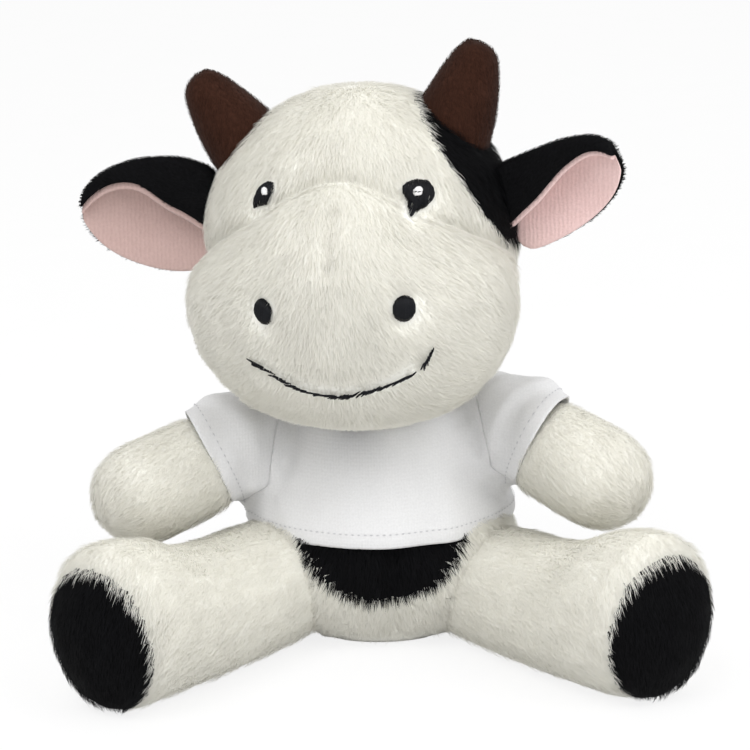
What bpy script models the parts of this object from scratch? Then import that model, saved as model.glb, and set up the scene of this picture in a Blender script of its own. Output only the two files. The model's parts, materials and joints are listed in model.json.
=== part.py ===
"""A sitting plush cow in a plain T-shirt, built from its separate sewn pieces.

Run it with blender --background --python part.py, or from Blender's text editor.
Metres, +Z up. The cow faces -Y, and its own left side is at +X.
The origin is on the floor, under the middle of the body.
"""

import math

import bmesh
import bpy
from mathutils import Matrix, Vector

# Shared clearances and thicknesses
GAP = 0.0003
FLOOR_CUT = 0.0005
FUR_THICKNESS = 0.0020
CLOTH_THICKNESS = 0.0010

# Body
TORSO_HEIGHT = 0.0745
TORSO_WIDTH = 0.0850
TORSO_DEPTH = 0.0810
PELLET_LEVEL = 0.0170
BELLY_PATCH_WIDTH = 0.0510
BELLY_PATCH_HEIGHT = 0.0520
BELLY_PATCH_FLOOR = 0.0195

# Neck
NECK_RADIUS = 0.0205
NECK_SINK = 0.0025
NECK_SIDEWAYS = -0.0010

# Head
CRANIUM_WIDTH = 0.0980
CRANIUM_DEPTH = 0.0900
CRANIUM_HEIGHT = 0.0935
CRANIUM_DROP = 0.0060
MUZZLE_WIDTH = 0.1025
MUZZLE_DEPTH = 0.0770
MUZZLE_HEIGHT = 0.0825
MUZZLE_FORWARD = 0.0225
MUZZLE_DROP = 0.0185
CHIN_CLEARANCE = 0.0040
HEAD_SIDEWAYS = 0.0018
HEAD_FORWARD = 0.0080
HEAD_YAW = math.radians(-10.2)
HEAD_ROLL = math.radians(-3.0)
PATCH_TILT = math.radians(32.0)
PATCH_TURN = math.radians(7.0)

# Face embroidery
STITCH_HEIGHT = 0.0010
GLINT_HEIGHT = 0.0006
EYE_WIDTH = 0.0082
EYE_HEIGHT = 0.0078
EYE_SPREAD = 0.0243
EYE_SIDEWAYS = 0.0010
EYE_RISE = 0.0210
GLINT_WIDTH = 0.0026
GLINT_RISE = 0.0010
NOSTRIL_WIDTH = 0.0064
NOSTRIL_HEIGHT = 0.0080
NOSTRIL_SPREAD = 0.0220
NOSTRIL_RISE = 0.0035
MOUTH_WIDTH = 0.0575
MOUTH_SIDEWAYS = 0.0008
MOUTH_CORNER_DROP = 0.0122
MOUTH_MIDDLE_DROP = 0.0255
MOUTH_THREAD = 0.0010

# Horns
HORN_LENGTH = 0.0320
HORN_BASE_WIDTH = 0.0240
HORN_TIP_CURL = 0.0010

# Ears
EAR_LENGTH = 0.0418
EAR_WIDTH = 0.0365
EAR_BACK_THICKNESS = 0.0026
EAR_LINING_THICKNESS = 0.0014
EAR_CUP = 0.0050
EAR_RISE_ON_HEAD = 0.0028

# Arms and sleeves
SHOULDER_FORWARD = 0.0010
ARM_LENGTH = 0.0635
ARM_ROOT_WIDTH = 0.0250
ARM_HAND_WIDTH = 0.0285
SLEEVE_START = 0.0035
SLEEVE_LENGTH = 0.0125
SLEEVE_FLARE = 0.0018
ARM_SWING = math.radians(18.0)
ARM_SWING_LEAN = math.radians(30.0)
ARMHOLE_CLEARANCE = 0.0032

# Shirt
HEM_HEIGHT = 0.0390
HEM_FLARE = 0.0012
COLLAR_WIDTH = 0.0022
COLLAR_HEIGHT = 0.0028

# Legs and feet
LEG_LENGTH = 0.1010
THIGH_THICKNESS = 0.0390
FOOT_HEIGHT = 0.0540
FOOT_WIDTH = 0.0470
SOLE_DOME = 0.0105
HIP_SPREAD = 0.0280
HIP_FORWARD = 0.0120
LEG_SWING = math.radians(30.0)
SWING_CLEARANCE = 0.0010
PAD_DEPTH = 0.0085
PAD_TILT = math.radians(8.0)

# Tail
TAIL_LENGTH = 0.0320
TAIL_WIDTH = 0.0090
TAIL_HEIGHT = 0.0190
TAIL_DROOP = math.radians(12.0)
TUFT_LENGTH = 0.0220
TUFT_WIDTH = 0.0160

# Shape tables. Each row starts with its place along the piece
TORSO_SHARES = (
    (0.00, 0.60),
    (0.05, 0.74),
    (0.14, 0.89),
    (0.28, 0.99),
    (0.42, 1.00),
    (0.58, 0.94),
    (0.72, 0.83),
    (0.84, 0.71),
    (0.93, 0.56),
    (1.00, 0.36),
)
LEG_SHARES = (
    (0.00, 0.00, 0.00),
    (0.15, 0.02, 0.45),
    (0.30, 0.04, 0.70),
    (0.50, 0.08, 0.80),
    (0.66, 0.30, 0.85),
    (0.82, 0.80, 0.95),
    (1.00, 1.00, 1.00),
)
ARM_SHARES = (
    (0.00, 0.00),
    (0.20, 0.08),
    (0.50, 0.62),
    (0.80, 1.00),
    (1.00, 0.90),
)
HORN_SHARES = (
    (0.00, 1.00),
    (0.35, 0.88),
    (0.65, 0.70),
    (0.88, 0.48),
)
EAR_SHARES = (
    (0.00, 0.86),
    (0.20, 0.95),
    (0.50, 1.00),
    (0.78, 0.84),
    (0.94, 0.50),
)
TUFT_SHARES = (
    (0.00, 0.52),
    (0.20, 0.80),
    (0.50, 1.00),
    (0.78, 0.72),
    (0.94, 0.36),
)
ARM_DOME_SHARE = 0.21
HAND_OVER_LEG_SHARE = 0.50
HORN_TIP_SHARE = 0.70
TAIL_STAND_SHARE = 0.25
HEAD_FULLNESS_SHARE = 2.1
MUZZLE_FULLNESS_SHARE = 2.3
MUZZLE_GABLE_SHARE = 0.42
PATCH_REACH_SHARE = 0.74
ARM_OPENING_SHARE = 0.80
SWING_STOP_SHARES = (0.5, 1.0)
EAR_EDGE_SHARE = 0.25
LINING_SIZE_SHARE = 0.86

# Each side of the cow: the sign of X, and what differs by hand sewing
SIDES = {"left": 1, "right": -1}
HORN_SPREADS = {"left": 0.0300, "right": 0.0320}
HORN_RISES = {"left": 0.0245, "right": 0.0215}
HORN_LEANS = {"left": math.radians(25.0), "right": math.radians(36.0)}
EAR_RISES = {"left": math.radians(16.0), "right": math.radians(8.0)}
EAR_STANDS = {"left": 0.0012, "right": 0.0005}
EAR_SWEEPS = {"left": math.radians(14.0), "right": math.radians(2.0)}
SHOULDER_HEIGHTS = {"left": 0.0680, "right": 0.0640}
SHOULDER_STANDS = {"left": 0.0135, "right": 0.0100}
HAND_RESTS = {"left": 0.0040, "right": 0.0010}
ARM_AZIMUTHS = {"left": math.radians(49.0), "right": math.radians(39.0)}
LEG_AZIMUTHS = {"left": math.radians(37.5), "right": math.radians(39.5)}

# Counts, with fewer faces on the insides, which nothing touches
TORSO_SIDES = 24
TORSO_INNER_SIDES = 16
TORSO_RINGS = 12
TORSO_INNER_RINGS = 8
HEAD_SIDES = 28
HEAD_INNER_SIDES = 16
HEAD_RINGS = 15
HEAD_INNER_RINGS = 8
LIMB_SIDES = 16
LIMB_INNER_SIDES = 10
LIMB_RINGS = 9
LIMB_INNER_RINGS = 5
ROOT_RINGS = 4
DOME_RINGS = 3
HORN_RINGS = 7
BALL_SIDES = 20
BALL_RINGS = 10
SMALL_SIDES = 12
SHIRT_RINGS = 6
EAR_RINGS = 8
EAR_ACROSS = 7
MOUTH_POINTS = 13
PLATE_RINGS = 2


def clear_scene():
    for obj in list(bpy.data.objects):
        bpy.data.objects.remove(obj, do_unlink=True)


def make_finish(name, colour, roughness):
    """A cloth or fur material with a plain Principled shader."""
    finish = bpy.data.materials.new(name)
    finish.use_nodes = True
    shader = finish.node_tree.nodes["Principled BSDF"]
    shader.inputs["Base Color"].default_value = (*colour, 1.0)
    shader.inputs["Roughness"].default_value = roughness
    shader.inputs["Metallic"].default_value = 0.0
    finish.diffuse_color = (*colour, 1.0)
    return finish


def make_finishes():
    return {
        "white_fur": make_finish("white_fur", (0.86, 0.86, 0.83), 0.95),
        "black_fur": make_finish("black_fur", (0.008, 0.009, 0.012), 0.9),
        "brown_pile": make_finish("brown_pile", (0.075, 0.022, 0.012), 0.9),
        "pink_pile": make_finish("pink_pile", (0.80, 0.52, 0.53), 0.9),
        "jersey": make_finish("jersey", (0.72, 0.72, 0.76), 0.85),
        "black_thread": make_finish("black_thread", (0.006, 0.006, 0.007), 0.5),
        "white_thread": make_finish("white_thread", (0.90, 0.90, 0.90), 0.5),
        "fibre": make_finish("fibre", (0.88, 0.88, 0.88), 1.0),
        "pellet_cloth": make_finish("pellet_cloth", (0.62, 0.60, 0.54), 0.9),
    }


def make_empty(name, place, turn=None, parent=None):
    """An axis for a moving piece, given in its parent's frame."""
    empty = bpy.data.objects.new(name, None)
    bpy.context.scene.collection.objects.link(empty)
    empty.matrix_basis = Matrix.Translation(place) @ (turn or Matrix.Identity(4))
    empty.parent = parent
    return empty


def add_object(name, shape, parent=None, finish=None):
    """A smooth-shaded object from a finished bmesh, with its faces turned out."""
    bmesh.ops.recalc_face_normals(shape, faces=shape.faces)
    mesh = bpy.data.meshes.new(name)
    shape.to_mesh(mesh)
    shape.free()
    mesh.shade_smooth()
    mesh.set_sharp_from_angle(angle=math.radians(40.0))
    obj = bpy.data.objects.new(name, mesh)
    bpy.context.scene.collection.objects.link(obj)
    obj.parent = parent
    if finish:
        mesh.materials.append(finish)
    else:
        obj.hide_render = True
        obj.display_type = "WIRE"
    return obj


def bridge(shape, first, second, split=False):
    """Faces between two rings of the same count, or triangles all split the same way."""
    for index in range(len(first)):
        after = (index + 1) % len(first)
        corners = (first[index], first[after], second[after], second[index])
        if split:
            shape.faces.new(corners[:3])
            shape.faces.new((corners[0], *corners[2:]))
        else:
            shape.faces.new(corners)


def fan(shape, ring, tip):
    for index in range(len(ring)):
        shape.faces.new((ring[index], ring[(index + 1) % len(ring)], tip))


def skin(name, rings, tips=None, looped=False, parent=None, finish=None, split=False):
    """A closed solid through a row of rings, ended by tips or flat caps, or joined round."""
    shape = bmesh.new()
    rows = [[shape.verts.new(point) for point in ring] for ring in rings]
    for first, second in zip(rows, rows[1:]):
        bridge(shape, first, second, split)
    if looped:
        bridge(shape, rows[-1], rows[0])
    elif tips:
        fan(shape, rows[0], shape.verts.new(tips[0]))
        fan(shape, rows[-1], shape.verts.new(tips[1]))
    else:
        shape.faces.new(rows[0])
        shape.faces.new(rows[-1])
    return add_object(name, shape, parent, finish)


def ellipse(centre, across, upward, half_across, half_upward, sides):
    """A ring of points round a centre, in the plane of two unit directions."""
    points = []
    for index in range(sides):
        turn = math.tau * index / sides
        side_step = across * (half_across * math.cos(turn))
        points.append(centre + side_step + upward * (half_upward * math.sin(turn)))
    return points


def read_shares(table, place):
    """The values of a table of shares at one place, on a smooth curve through its rows."""
    last = len(table) - 1
    row = 0
    while row < last - 1 and place > table[row + 1][0]:
        row += 1
    before, start = table[max(row - 1, 0)], table[row]
    end, after = table[row + 1], table[min(row + 2, last)]
    span = end[0] - start[0]
    way = (place - start[0]) / span
    values = []
    for column in range(1, len(start)):
        slope_in = (end[column] - before[column]) / (end[0] - before[0]) * span
        slope_out = (after[column] - start[column]) / (after[0] - start[0]) * span
        value = start[column] * (2 * way**3 - 3 * way**2 + 1)
        value += slope_in * (way**3 - 2 * way**2 + way)
        value += end[column] * (3 * way**2 - 2 * way**3)
        value += slope_out * (way**3 - way**2)
        values.append(value)
    return values


def boolean(obj, cutter, operation="DIFFERENCE"):
    modifier = obj.modifiers.new(cutter.name, "BOOLEAN")
    modifier.operation = operation
    modifier.object = cutter
    modifier.solver = "EXACT"


def cut_all(obj, cutters):
    for cutter in cutters:
        boolean(obj, cutter)


def ball(name, centre, radius, parent=None, finish=None, outside=False):
    """A round ball. As a cutter it can be drawn outside its radius, so that its flats clear it."""
    if outside:
        radius /= math.cos(math.pi / BALL_SIDES) * math.cos(math.pi / BALL_RINGS / 2)
    rings = []
    for index in range(1, BALL_RINGS):
        turn = math.pi * index / BALL_RINGS
        middle = centre + Vector((0, 0, -radius * math.cos(turn)))
        reach = radius * math.sin(turn)
        rings.append(ellipse(middle, Vector((1, 0, 0)), Vector((0, 1, 0)), reach, reach, BALL_SIDES))
    tips = (centre - Vector((0, 0, radius)), centre + Vector((0, 0, radius)))
    return skin(name, rings, tips=tips, parent=parent, finish=finish)


def block(name, low, high, parent=None):
    """A box between two corners, as a cutter."""
    corners = [
        Vector((low.x, low.y, low.z)),
        Vector((high.x, low.y, low.z)),
        Vector((high.x, high.y, low.z)),
        Vector((low.x, high.y, low.z)),
    ]
    lift = Vector((0, 0, high.z - low.z))
    return skin(name, [corners, [corner + lift for corner in corners]], parent=parent)


def half_space(name, place, turn, size, parent=None):
    """A large box whose -Z face lies on a plane, as a cutter. The plane faces the turned +Z."""
    axis = make_empty(name + "_plane", place, turn, parent)
    return block(name, Vector((-size, -size, 0)), Vector((size, size, size * 2)), axis)


class Egg:
    """A full, rounded form about a centre, such as the cranium or the muzzle."""

    def __init__(self, centre, width, depth, height, fullness, gable=0.0, inside=False):
        self.inside = inside
        self.centre = centre
        self.halves = (width / 2, depth / 2, height / 2)
        self.fullness = fullness
        self.gable = gable

    def grown(self, distance):
        wider = [2 * (half + distance) for half in self.halves]
        return Egg(self.centre, *wider, self.fullness, self.gable, inside=distance < 0)

    def lowering(self, across):
        """What is left of the upper half's height beside the middle, where it peaks."""
        way = min(abs(across) / self.halves[0], 1)
        return 1 - self.gable * way**2 * (3 - 2 * way)

    def reach(self, direction):
        """How far the surface lies from the centre in a unit direction."""
        power = self.fullness
        total = sum(abs(part / half) ** power for part, half in zip(direction, self.halves))
        return total ** (-1 / power)

    def point(self, direction):
        offset = direction * self.reach(direction)
        if offset.z > 0:
            offset.z *= self.lowering(offset.x)
        return self.centre + offset

    def front(self, across, upward, lift):
        """A point on the front, at a place across and up from the centre, lifted off it."""
        power = self.fullness
        if upward > 0:
            upward /= self.lowering(across)
        used = abs(across / self.halves[0]) ** power + abs(upward / self.halves[2]) ** power
        forward = -self.halves[1] * (1 - used) ** (1 / power)
        offset = Vector((across, forward, upward))
        slopes = [
            math.copysign(abs(part / half) ** (power - 1) / half, part)
            for part, half in zip(offset, self.halves)
        ]
        if upward > 0:
            offset.z *= self.lowering(across)
        return self.centre + offset + Vector(slopes).normalized() * lift

    def side_reach(self, along, upward):
        """How far the surface lies sideways from the centre, at a place along Y and up."""
        power = self.fullness
        used = abs(along / self.halves[1]) ** power + abs(upward / self.halves[2]) ** power
        return self.halves[0] * (1 - used) ** (1 / power)

    def solid(self, name, parent, finish=None):
        sides = HEAD_INNER_SIDES if self.inside else HEAD_SIDES
        steps = HEAD_INNER_RINGS if self.inside else HEAD_RINGS
        rings = []
        for index in range(1, steps):
            tilt = math.pi * index / steps
            flat = math.sin(tilt)
            ring = []
            for step in range(sides):
                turn = math.tau * step / sides
                direction = Vector((flat * math.cos(turn), flat * math.sin(turn), -math.cos(tilt)))
                ring.append(self.point(direction))
            rings.append(ring)
        tips = (self.point(Vector((0, 0, -1))), self.point(Vector((0, 0, 1))))
        split = self.gable > 0
        return skin(name, rings, tips=tips, parent=parent, finish=finish, split=split)


class Limb:
    """An arm or a leg along -Y of its own frame: a root ball, a swelling length and a dome."""

    def __init__(self, length, dome, start_size, end_size, shares, floor=None):
        self.length = length
        self.dome = dome
        self.start_size = start_size
        self.end_size = end_size
        self.shares = shares
        self.floor = floor

    def halves(self, place):
        """Half the width and half the height at a place from 0 to 1 along the limb."""
        parts = read_shares(self.shares, place)
        sizes = []
        for start, end, part in zip(self.start_size, self.end_size, (parts[-1], parts[0])):
            sizes.append((start + (end - start) * part) / 2)
        return sizes

    def centre(self, place):
        """The middle of the limb, which lies on the floor where it has one."""
        distance = (self.length - self.dome) * place
        if self.floor is None:
            return Vector((0, -distance, 0))
        return Vector((0, -distance, self.floor + self.halves(place)[1]))

    def ring(self, place, shift, half_width, half_height, sides):
        middle = self.centre(place) - Vector((0, shift, 0))
        across, upward = Vector((1, 0, 0)), Vector((0, 0, 1))
        return ellipse(middle, across, upward, half_width, half_height, sides)

    def solid(self, name, parent, inset=0.0, finish=None):
        root = self.start_size[0] / 2 - inset
        sides = LIMB_INNER_SIDES if inset > 0 else LIMB_SIDES
        steps = LIMB_INNER_RINGS if inset > 0 else LIMB_RINGS
        rings = []
        for index in range(1, ROOT_RINGS):
            turn = math.pi / 2 * index / ROOT_RINGS
            reach = root * math.sin(turn)
            rings.append(self.ring(0, -root * math.cos(turn), reach, reach, sides))
        for index in range(steps + 1):
            place = index / steps
            half_width, half_height = self.halves(place)
            rings.append(self.ring(place, 0, half_width - inset, half_height - inset, sides))
        half_width, half_height = self.halves(1)
        dome = self.dome - inset
        for index in range(1, DOME_RINGS):
            turn = math.pi / 2 * index / DOME_RINGS
            wide = (half_width - inset) * math.cos(turn)
            high = (half_height - inset) * math.cos(turn)
            rings.append(self.ring(1, dome * math.sin(turn), wide, high, sides))
        tips = (self.centre(0) + Vector((0, root, 0)), self.centre(1) - Vector((0, dome, 0)))
        split = inset > 0
        return skin(name, rings, tips=tips, parent=parent, finish=finish, split=split)


class Cow:
    """The toy: its frames, the cutters that shape its joints, and every piece."""

    def __init__(self):
        self.finishes = make_finishes()
        self.leg = Limb(
            LEG_LENGTH,
            SOLE_DOME,
            (THIGH_THICKNESS, THIGH_THICKNESS),
            (FOOT_WIDTH, FOOT_HEIGHT),
            LEG_SHARES,
            floor=-THIGH_THICKNESS / 2,
        )
        self.arm = Limb(
            ARM_LENGTH,
            ARM_LENGTH * ARM_DOME_SHARE,
            (ARM_ROOT_WIDTH, ARM_ROOT_WIDTH),
            (ARM_HAND_WIDTH, ARM_HAND_WIDTH),
            ARM_SHARES,
        )
        self.place_frames()
        self.cranium = Egg(
            self.head_middle + Vector((0, 0, -CRANIUM_DROP)),
            CRANIUM_WIDTH,
            CRANIUM_DEPTH,
            CRANIUM_HEIGHT,
            HEAD_FULLNESS_SHARE,
        )
        self.muzzle = Egg(
            self.head_middle + Vector((0, -MUZZLE_FORWARD, -MUZZLE_DROP)),
            MUZZLE_WIDTH,
            MUZZLE_DEPTH,
            MUZZLE_HEIGHT,
            MUZZLE_FULLNESS_SHARE,
            MUZZLE_GABLE_SHARE,
        )
        self.make_joint_cutters()

    def place_frames(self):
        """The neck, head, shoulder, hip and tail axes, worked out from the sizes."""
        self.neck_place = Vector((NECK_SIDEWAYS, 0, TORSO_HEIGHT - NECK_SINK))
        tilt = Matrix.Rotation(HEAD_YAW, 4, "Z") @ Matrix.Rotation(HEAD_ROLL, 4, "Y")
        self.neck_axis = make_empty("neck_axis", self.neck_place)
        self.head_axis = make_empty("head_axis", self.neck_place, tilt)
        head_height = NECK_SINK + CHIN_CLEARANCE + MUZZLE_HEIGHT / 2 + MUZZLE_DROP
        self.head_middle = Vector((HEAD_SIDEWAYS, -HEAD_FORWARD, head_height))
        hip_height = THIGH_THICKNESS / 2 - FLOOR_CUT
        self.hip_axes, self.arm_axes, self.arm_hinges = {}, {}, {}
        for side, sign in SIDES.items():
            hip = Vector((sign * HIP_SPREAD, -HIP_FORWARD, hip_height))
            splay = Matrix.Rotation(sign * LEG_AZIMUTHS[side], 4, "Z")
            self.hip_axes[side] = make_empty(f"leg_{side}_axis", hip, splay)
            self.arm_axes[side] = self.place_arm(side, sign)
        tail_reach = self.torso_halves(TAIL_HEIGHT / TORSO_HEIGHT)[1] + TAIL_WIDTH * TAIL_STAND_SHARE
        droop = Matrix.Rotation(math.pi, 4, "Z") @ Matrix.Rotation(TAIL_DROOP, 4, "X")
        tail_place = Vector((0, tail_reach, TAIL_HEIGHT))
        self.tail_axis = make_empty("tail_axis", tail_place, droop)

    def place_arm(self, side, sign):
        """The shoulder stands just outside the body, and the hand lies just over the leg."""
        height = SHOULDER_HEIGHTS[side]
        out = self.torso_halves(height / TORSO_HEIGHT)[0] + SHOULDER_STANDS[side]
        shoulder = Vector((sign * out, -SHOULDER_FORWARD, height))
        leg_top = 2 * self.leg.halves(HAND_OVER_LEG_SHARE)[1] - FLOOR_CUT
        hand = leg_top + HAND_RESTS[side] + ARM_HAND_WIDTH / 2
        reach = ARM_LENGTH - ARM_HAND_WIDTH / 2
        droop = math.asin((height - hand) / reach)
        outward = Matrix.Rotation(sign * (math.pi / 2 - ARM_AZIMUTHS[side]), 4, "Z")
        turn = outward @ Matrix.Rotation(droop, 4, "X")
        upright = Vector((0, 0, -sign * math.cos(ARM_SWING_LEAN)))
        hinge = upright - Vector((math.sin(ARM_SWING_LEAN), 0, 0))
        self.arm_hinges[side] = turn.to_3x3().inverted() @ hinge
        return make_empty(f"arm_{side}_axis", shoulder, turn)

    def torso_halves(self, place):
        """Half the width and half the depth of the body at a share of its height."""
        share = read_shares(TORSO_SHARES, place)[0]
        return TORSO_WIDTH / 2 * share, TORSO_DEPTH / 2 * share

    def torso_ring(self, place, height, grow, sides=TORSO_SIDES):
        half_width, half_depth = self.torso_halves(place)
        lean = NECK_SIDEWAYS * max(place, 0) ** 2
        middle = Vector((lean, 0, height))
        across, along = Vector((1, 0, 0)), Vector((0, 1, 0))
        return ellipse(middle, across, along, half_width + grow, half_depth + grow, sides)

    def torso_solid(self, name, bottom, inset=0.0, finish=None):
        """The body's form, drawn in by an inset, from a bottom height up."""
        sides = TORSO_INNER_SIDES if inset > 0 else TORSO_SIDES
        steps = TORSO_INNER_RINGS if inset > 0 else TORSO_RINGS
        rings = []
        for index in range(steps + 1):
            place = index / steps
            height = bottom + (TORSO_HEIGHT - inset - bottom) * place
            rings.append(self.torso_ring(place, height, -inset, sides))
        return skin(name, rings, finish=finish, split=inset > 0)

    def make_joint_cutters(self):
        """What is cut from the body so that the neck, arms, legs and tail can turn in it."""
        origin = Vector((0, 0, 0))
        self.neck_cup = ball(
            "neck_cup", origin, NECK_RADIUS + GAP, parent=self.neck_axis, outside=True
        )
        self.floor_block = block(
            "floor_block",
            Vector((-TORSO_WIDTH * 2, -TORSO_WIDTH * 2, -TORSO_WIDTH)),
            Vector((TORSO_WIDTH * 2, TORSO_WIDTH * 2, 0)),
        )
        self.limb_cutters, self.arm_cups, self.armholes = [], [], []
        self.sleeve_cutters = []
        room = -GAP - SWING_CLEARANCE
        for side in SIDES:
            hip = self.hip_axes[side]
            radius = THIGH_THICKNESS / 2 + GAP
            cup = ball(f"hip_{side}_cup", origin, radius, parent=hip, outside=True)
            at_rest = self.leg.solid(f"thigh_{side}_clearance", hip, inset=-GAP)
            shoulder = self.arm_axes[side]
            radius = ARM_ROOT_WIDTH / 2 + GAP
            arm_cup = ball(f"shoulder_{side}_cup", origin, radius, parent=shoulder, outside=True)
            hole = ARM_ROOT_WIDTH / 2 + ARMHOLE_CLEARANCE
            self.armholes.append(ball(f"armhole_{side}", origin, hole, parent=shoulder))
            self.arm_cups.append(arm_cup)
            self.limb_cutters += [cup, at_rest]
            turn = Matrix.Rotation(LEG_SWING, 4, "X")
            lowered = make_empty(f"leg_{side}_lowered", origin, turn, hip)
            self.limb_cutters.append(self.leg.solid(f"leg_{side}_room", lowered, inset=room))
            for share in SWING_STOP_SHARES:
                turn = Matrix.Rotation(ARM_SWING * share, 4, self.arm_hinges[side])
                swung = make_empty(f"arm_{side}_swung", origin, turn, shoulder)
                self.sleeve_cutters.append(self.sleeve_room(f"sleeve_{side}_room", swung))
            self.sleeve_cutters.append(self.arm.solid(f"arm_{side}_room", swung, inset=room))
        self.tail_cup = ball(
            "tail_cup", origin, TAIL_WIDTH / 2 + GAP, parent=self.tail_axis, outside=True
        )

    def sleeve_ring(self, way, grow):
        """A loop round the arm, at 0 by the shoulder and at 1 on the hem."""
        distance = SLEEVE_START + SLEEVE_LENGTH * way
        place = distance / (ARM_LENGTH - self.arm.dome)
        half = self.arm.halves(place)[0] + GAP + SLEEVE_FLARE * way + grow
        middle = Vector((0, -distance, 0))
        across, upward = Vector((1, 0, 0)), Vector((0, 0, 1))
        return ellipse(middle, across, upward, half, half, LIMB_SIDES)

    def sleeve_room(self, name, frame):
        """The sleeve's whole form with a clearance round it, where a swing takes it."""
        grow = CLOTH_THICKNESS + GAP + SWING_CLEARANCE
        rings = [
            self.sleeve_ring(index / (SHIRT_RINGS - 1), grow) for index in range(SHIRT_RINGS)
        ]
        near = Vector((0, grow - SLEEVE_START, 0))
        far = Vector((0, -SLEEVE_START - SLEEVE_LENGTH - grow, 0))
        return skin(name, rings, tips=(near, far), parent=frame)

    def belly_cutter(self, name, grow):
        """An upright oval that runs through the front of the body only."""
        height = BELLY_PATCH_FLOOR + BELLY_PATCH_HEIGHT / 2
        rings = []
        for along in (-TORSO_DEPTH, 0):
            rings.append(
                ellipse(
                    Vector((0, along, height)),
                    Vector((1, 0, 0)),
                    Vector((0, 0, 1)),
                    BELLY_PATCH_WIDTH / 2 + grow,
                    BELLY_PATCH_HEIGHT / 2 + grow,
                    TORSO_SIDES,
                )
            )
        return skin(name, rings)

    def build_torso(self):
        """The fur cover with its black belly panel, the stuffing and the pellet bag."""
        hollow = self.torso_solid("torso_hollow", FUR_THICKNESS, FUR_THICKNESS)
        joint_cutters = [self.neck_cup, *self.limb_cutters, *self.arm_cups, self.tail_cup]
        joint_cutters += self.sleeve_cutters
        cover = self.torso_solid("torso_cover", -FLOOR_CUT, finish=self.finishes["white_fur"])
        belly_edge = self.belly_cutter("belly_edge", GAP)
        cut_all(cover, [hollow, self.floor_block, *joint_cutters, belly_edge])
        patch = self.torso_solid("belly_patch", -FLOOR_CUT, finish=self.finishes["black_fur"])
        cut_all(patch, [hollow])
        boolean(patch, self.belly_cutter("belly_outline", 0), "INTERSECT")
        cut_all(patch, [*self.limb_cutters, self.neck_cup])
        inner = FUR_THICKNESS + GAP
        size = TORSO_WIDTH
        above = block(
            "above_pellets",
            Vector((-size, -size, PELLET_LEVEL)),
            Vector((size, size, TORSO_HEIGHT + size)),
        )
        below = block(
            "below_stuffing",
            Vector((-size, -size, -size)),
            Vector((size, size, PELLET_LEVEL + GAP)),
        )
        bag = self.torso_solid("pellet_bag", inner, inner, self.finishes["pellet_cloth"])
        cut_all(bag, [above, *self.limb_cutters, self.tail_cup])
        filling = self.torso_solid("torso_filling", inner, inner, self.finishes["fibre"])
        cut_all(filling, [below, *joint_cutters])

    def build_shirt(self):
        """Front and back panels sewn at the sides, and the neck band."""
        neck_opening = NECK_RADIUS + 2 * GAP
        start = HEM_HEIGHT / TORSO_HEIGHT
        end = self.place_of_half_width(neck_opening + COLLAR_WIDTH)
        inner, outer = [], []
        for index in range(SHIRT_RINGS):
            way = index / (SHIRT_RINGS - 1)
            place = start + (end - start) * way
            height = TORSO_HEIGHT * place
            flare = HEM_FLARE * (1 - way) ** 2
            inner.append(self.torso_ring(place, height, GAP + flare))
            outer.append(self.torso_ring(place, height, GAP + flare + CLOTH_THICKNESS))
        size = TORSO_WIDTH
        seams = {
            "shirt_front": (Vector((-size, -GAP / 2, -size)), Vector((size, size, size * 2))),
            "shirt_back": (Vector((-size, -size, -size)), Vector((size, GAP / 2, size * 2))),
        }
        for name, (low, high) in seams.items():
            panel = skin(name, inner + outer[::-1], looped=True, finish=self.finishes["jersey"])
            seam = block(name + "_seam", low, high)
            cut_all(panel, [seam, *self.armholes, self.neck_cup, *self.sleeve_cutters])
        self.build_collar(neck_opening, end)

    def place_of_half_width(self, half_width):
        """The share of the body's height at which it has narrowed to a half width."""
        steps = TORSO_RINGS * TORSO_RINGS
        index = steps
        while self.torso_halves(index / steps)[0] < half_width:
            index -= 1
        return index / steps

    def build_collar(self, opening, place):
        """A band that narrows from the shirt's upper edge to the neck opening."""
        wide = self.torso_halves(place)[0] + 2 * GAP
        top = COLLAR_HEIGHT
        profile = ((wide, 0), (opening, top), (opening + COLLAR_WIDTH, top), (wide + COLLAR_WIDTH, 0))
        rings = []
        for reach, rise in profile:
            middle = Vector((NECK_SIDEWAYS, 0, TORSO_HEIGHT * place + GAP + rise))
            across, along = Vector((1, 0, 0)), Vector((0, 1, 0))
            rings.append(ellipse(middle, across, along, reach, reach, TORSO_SIDES))
        skin("shirt_collar", rings, looped=True, finish=self.finishes["jersey"])

    def build_neck(self):
        ball(
            "neck_filling",
            Vector((0, 0, 0)),
            NECK_RADIUS,
            parent=self.neck_axis,
            finish=self.finishes["fibre"],
        )

    def patch_cutter(self, name, shift):
        """Everything past a slanting plane over the left eye, in the head's frame."""
        turn = Matrix.Rotation(PATCH_TURN, 4, "Z") @ Matrix.Rotation(
            math.pi / 2 - PATCH_TILT, 4, "Y"
        )
        reach = CRANIUM_WIDTH / 2 * PATCH_REACH_SHARE + shift
        facing = turn @ Vector((0, 0, 1))
        place = self.head_middle + facing * reach
        return half_space(name, place, turn, CRANIUM_WIDTH, self.head_axis)

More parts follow.
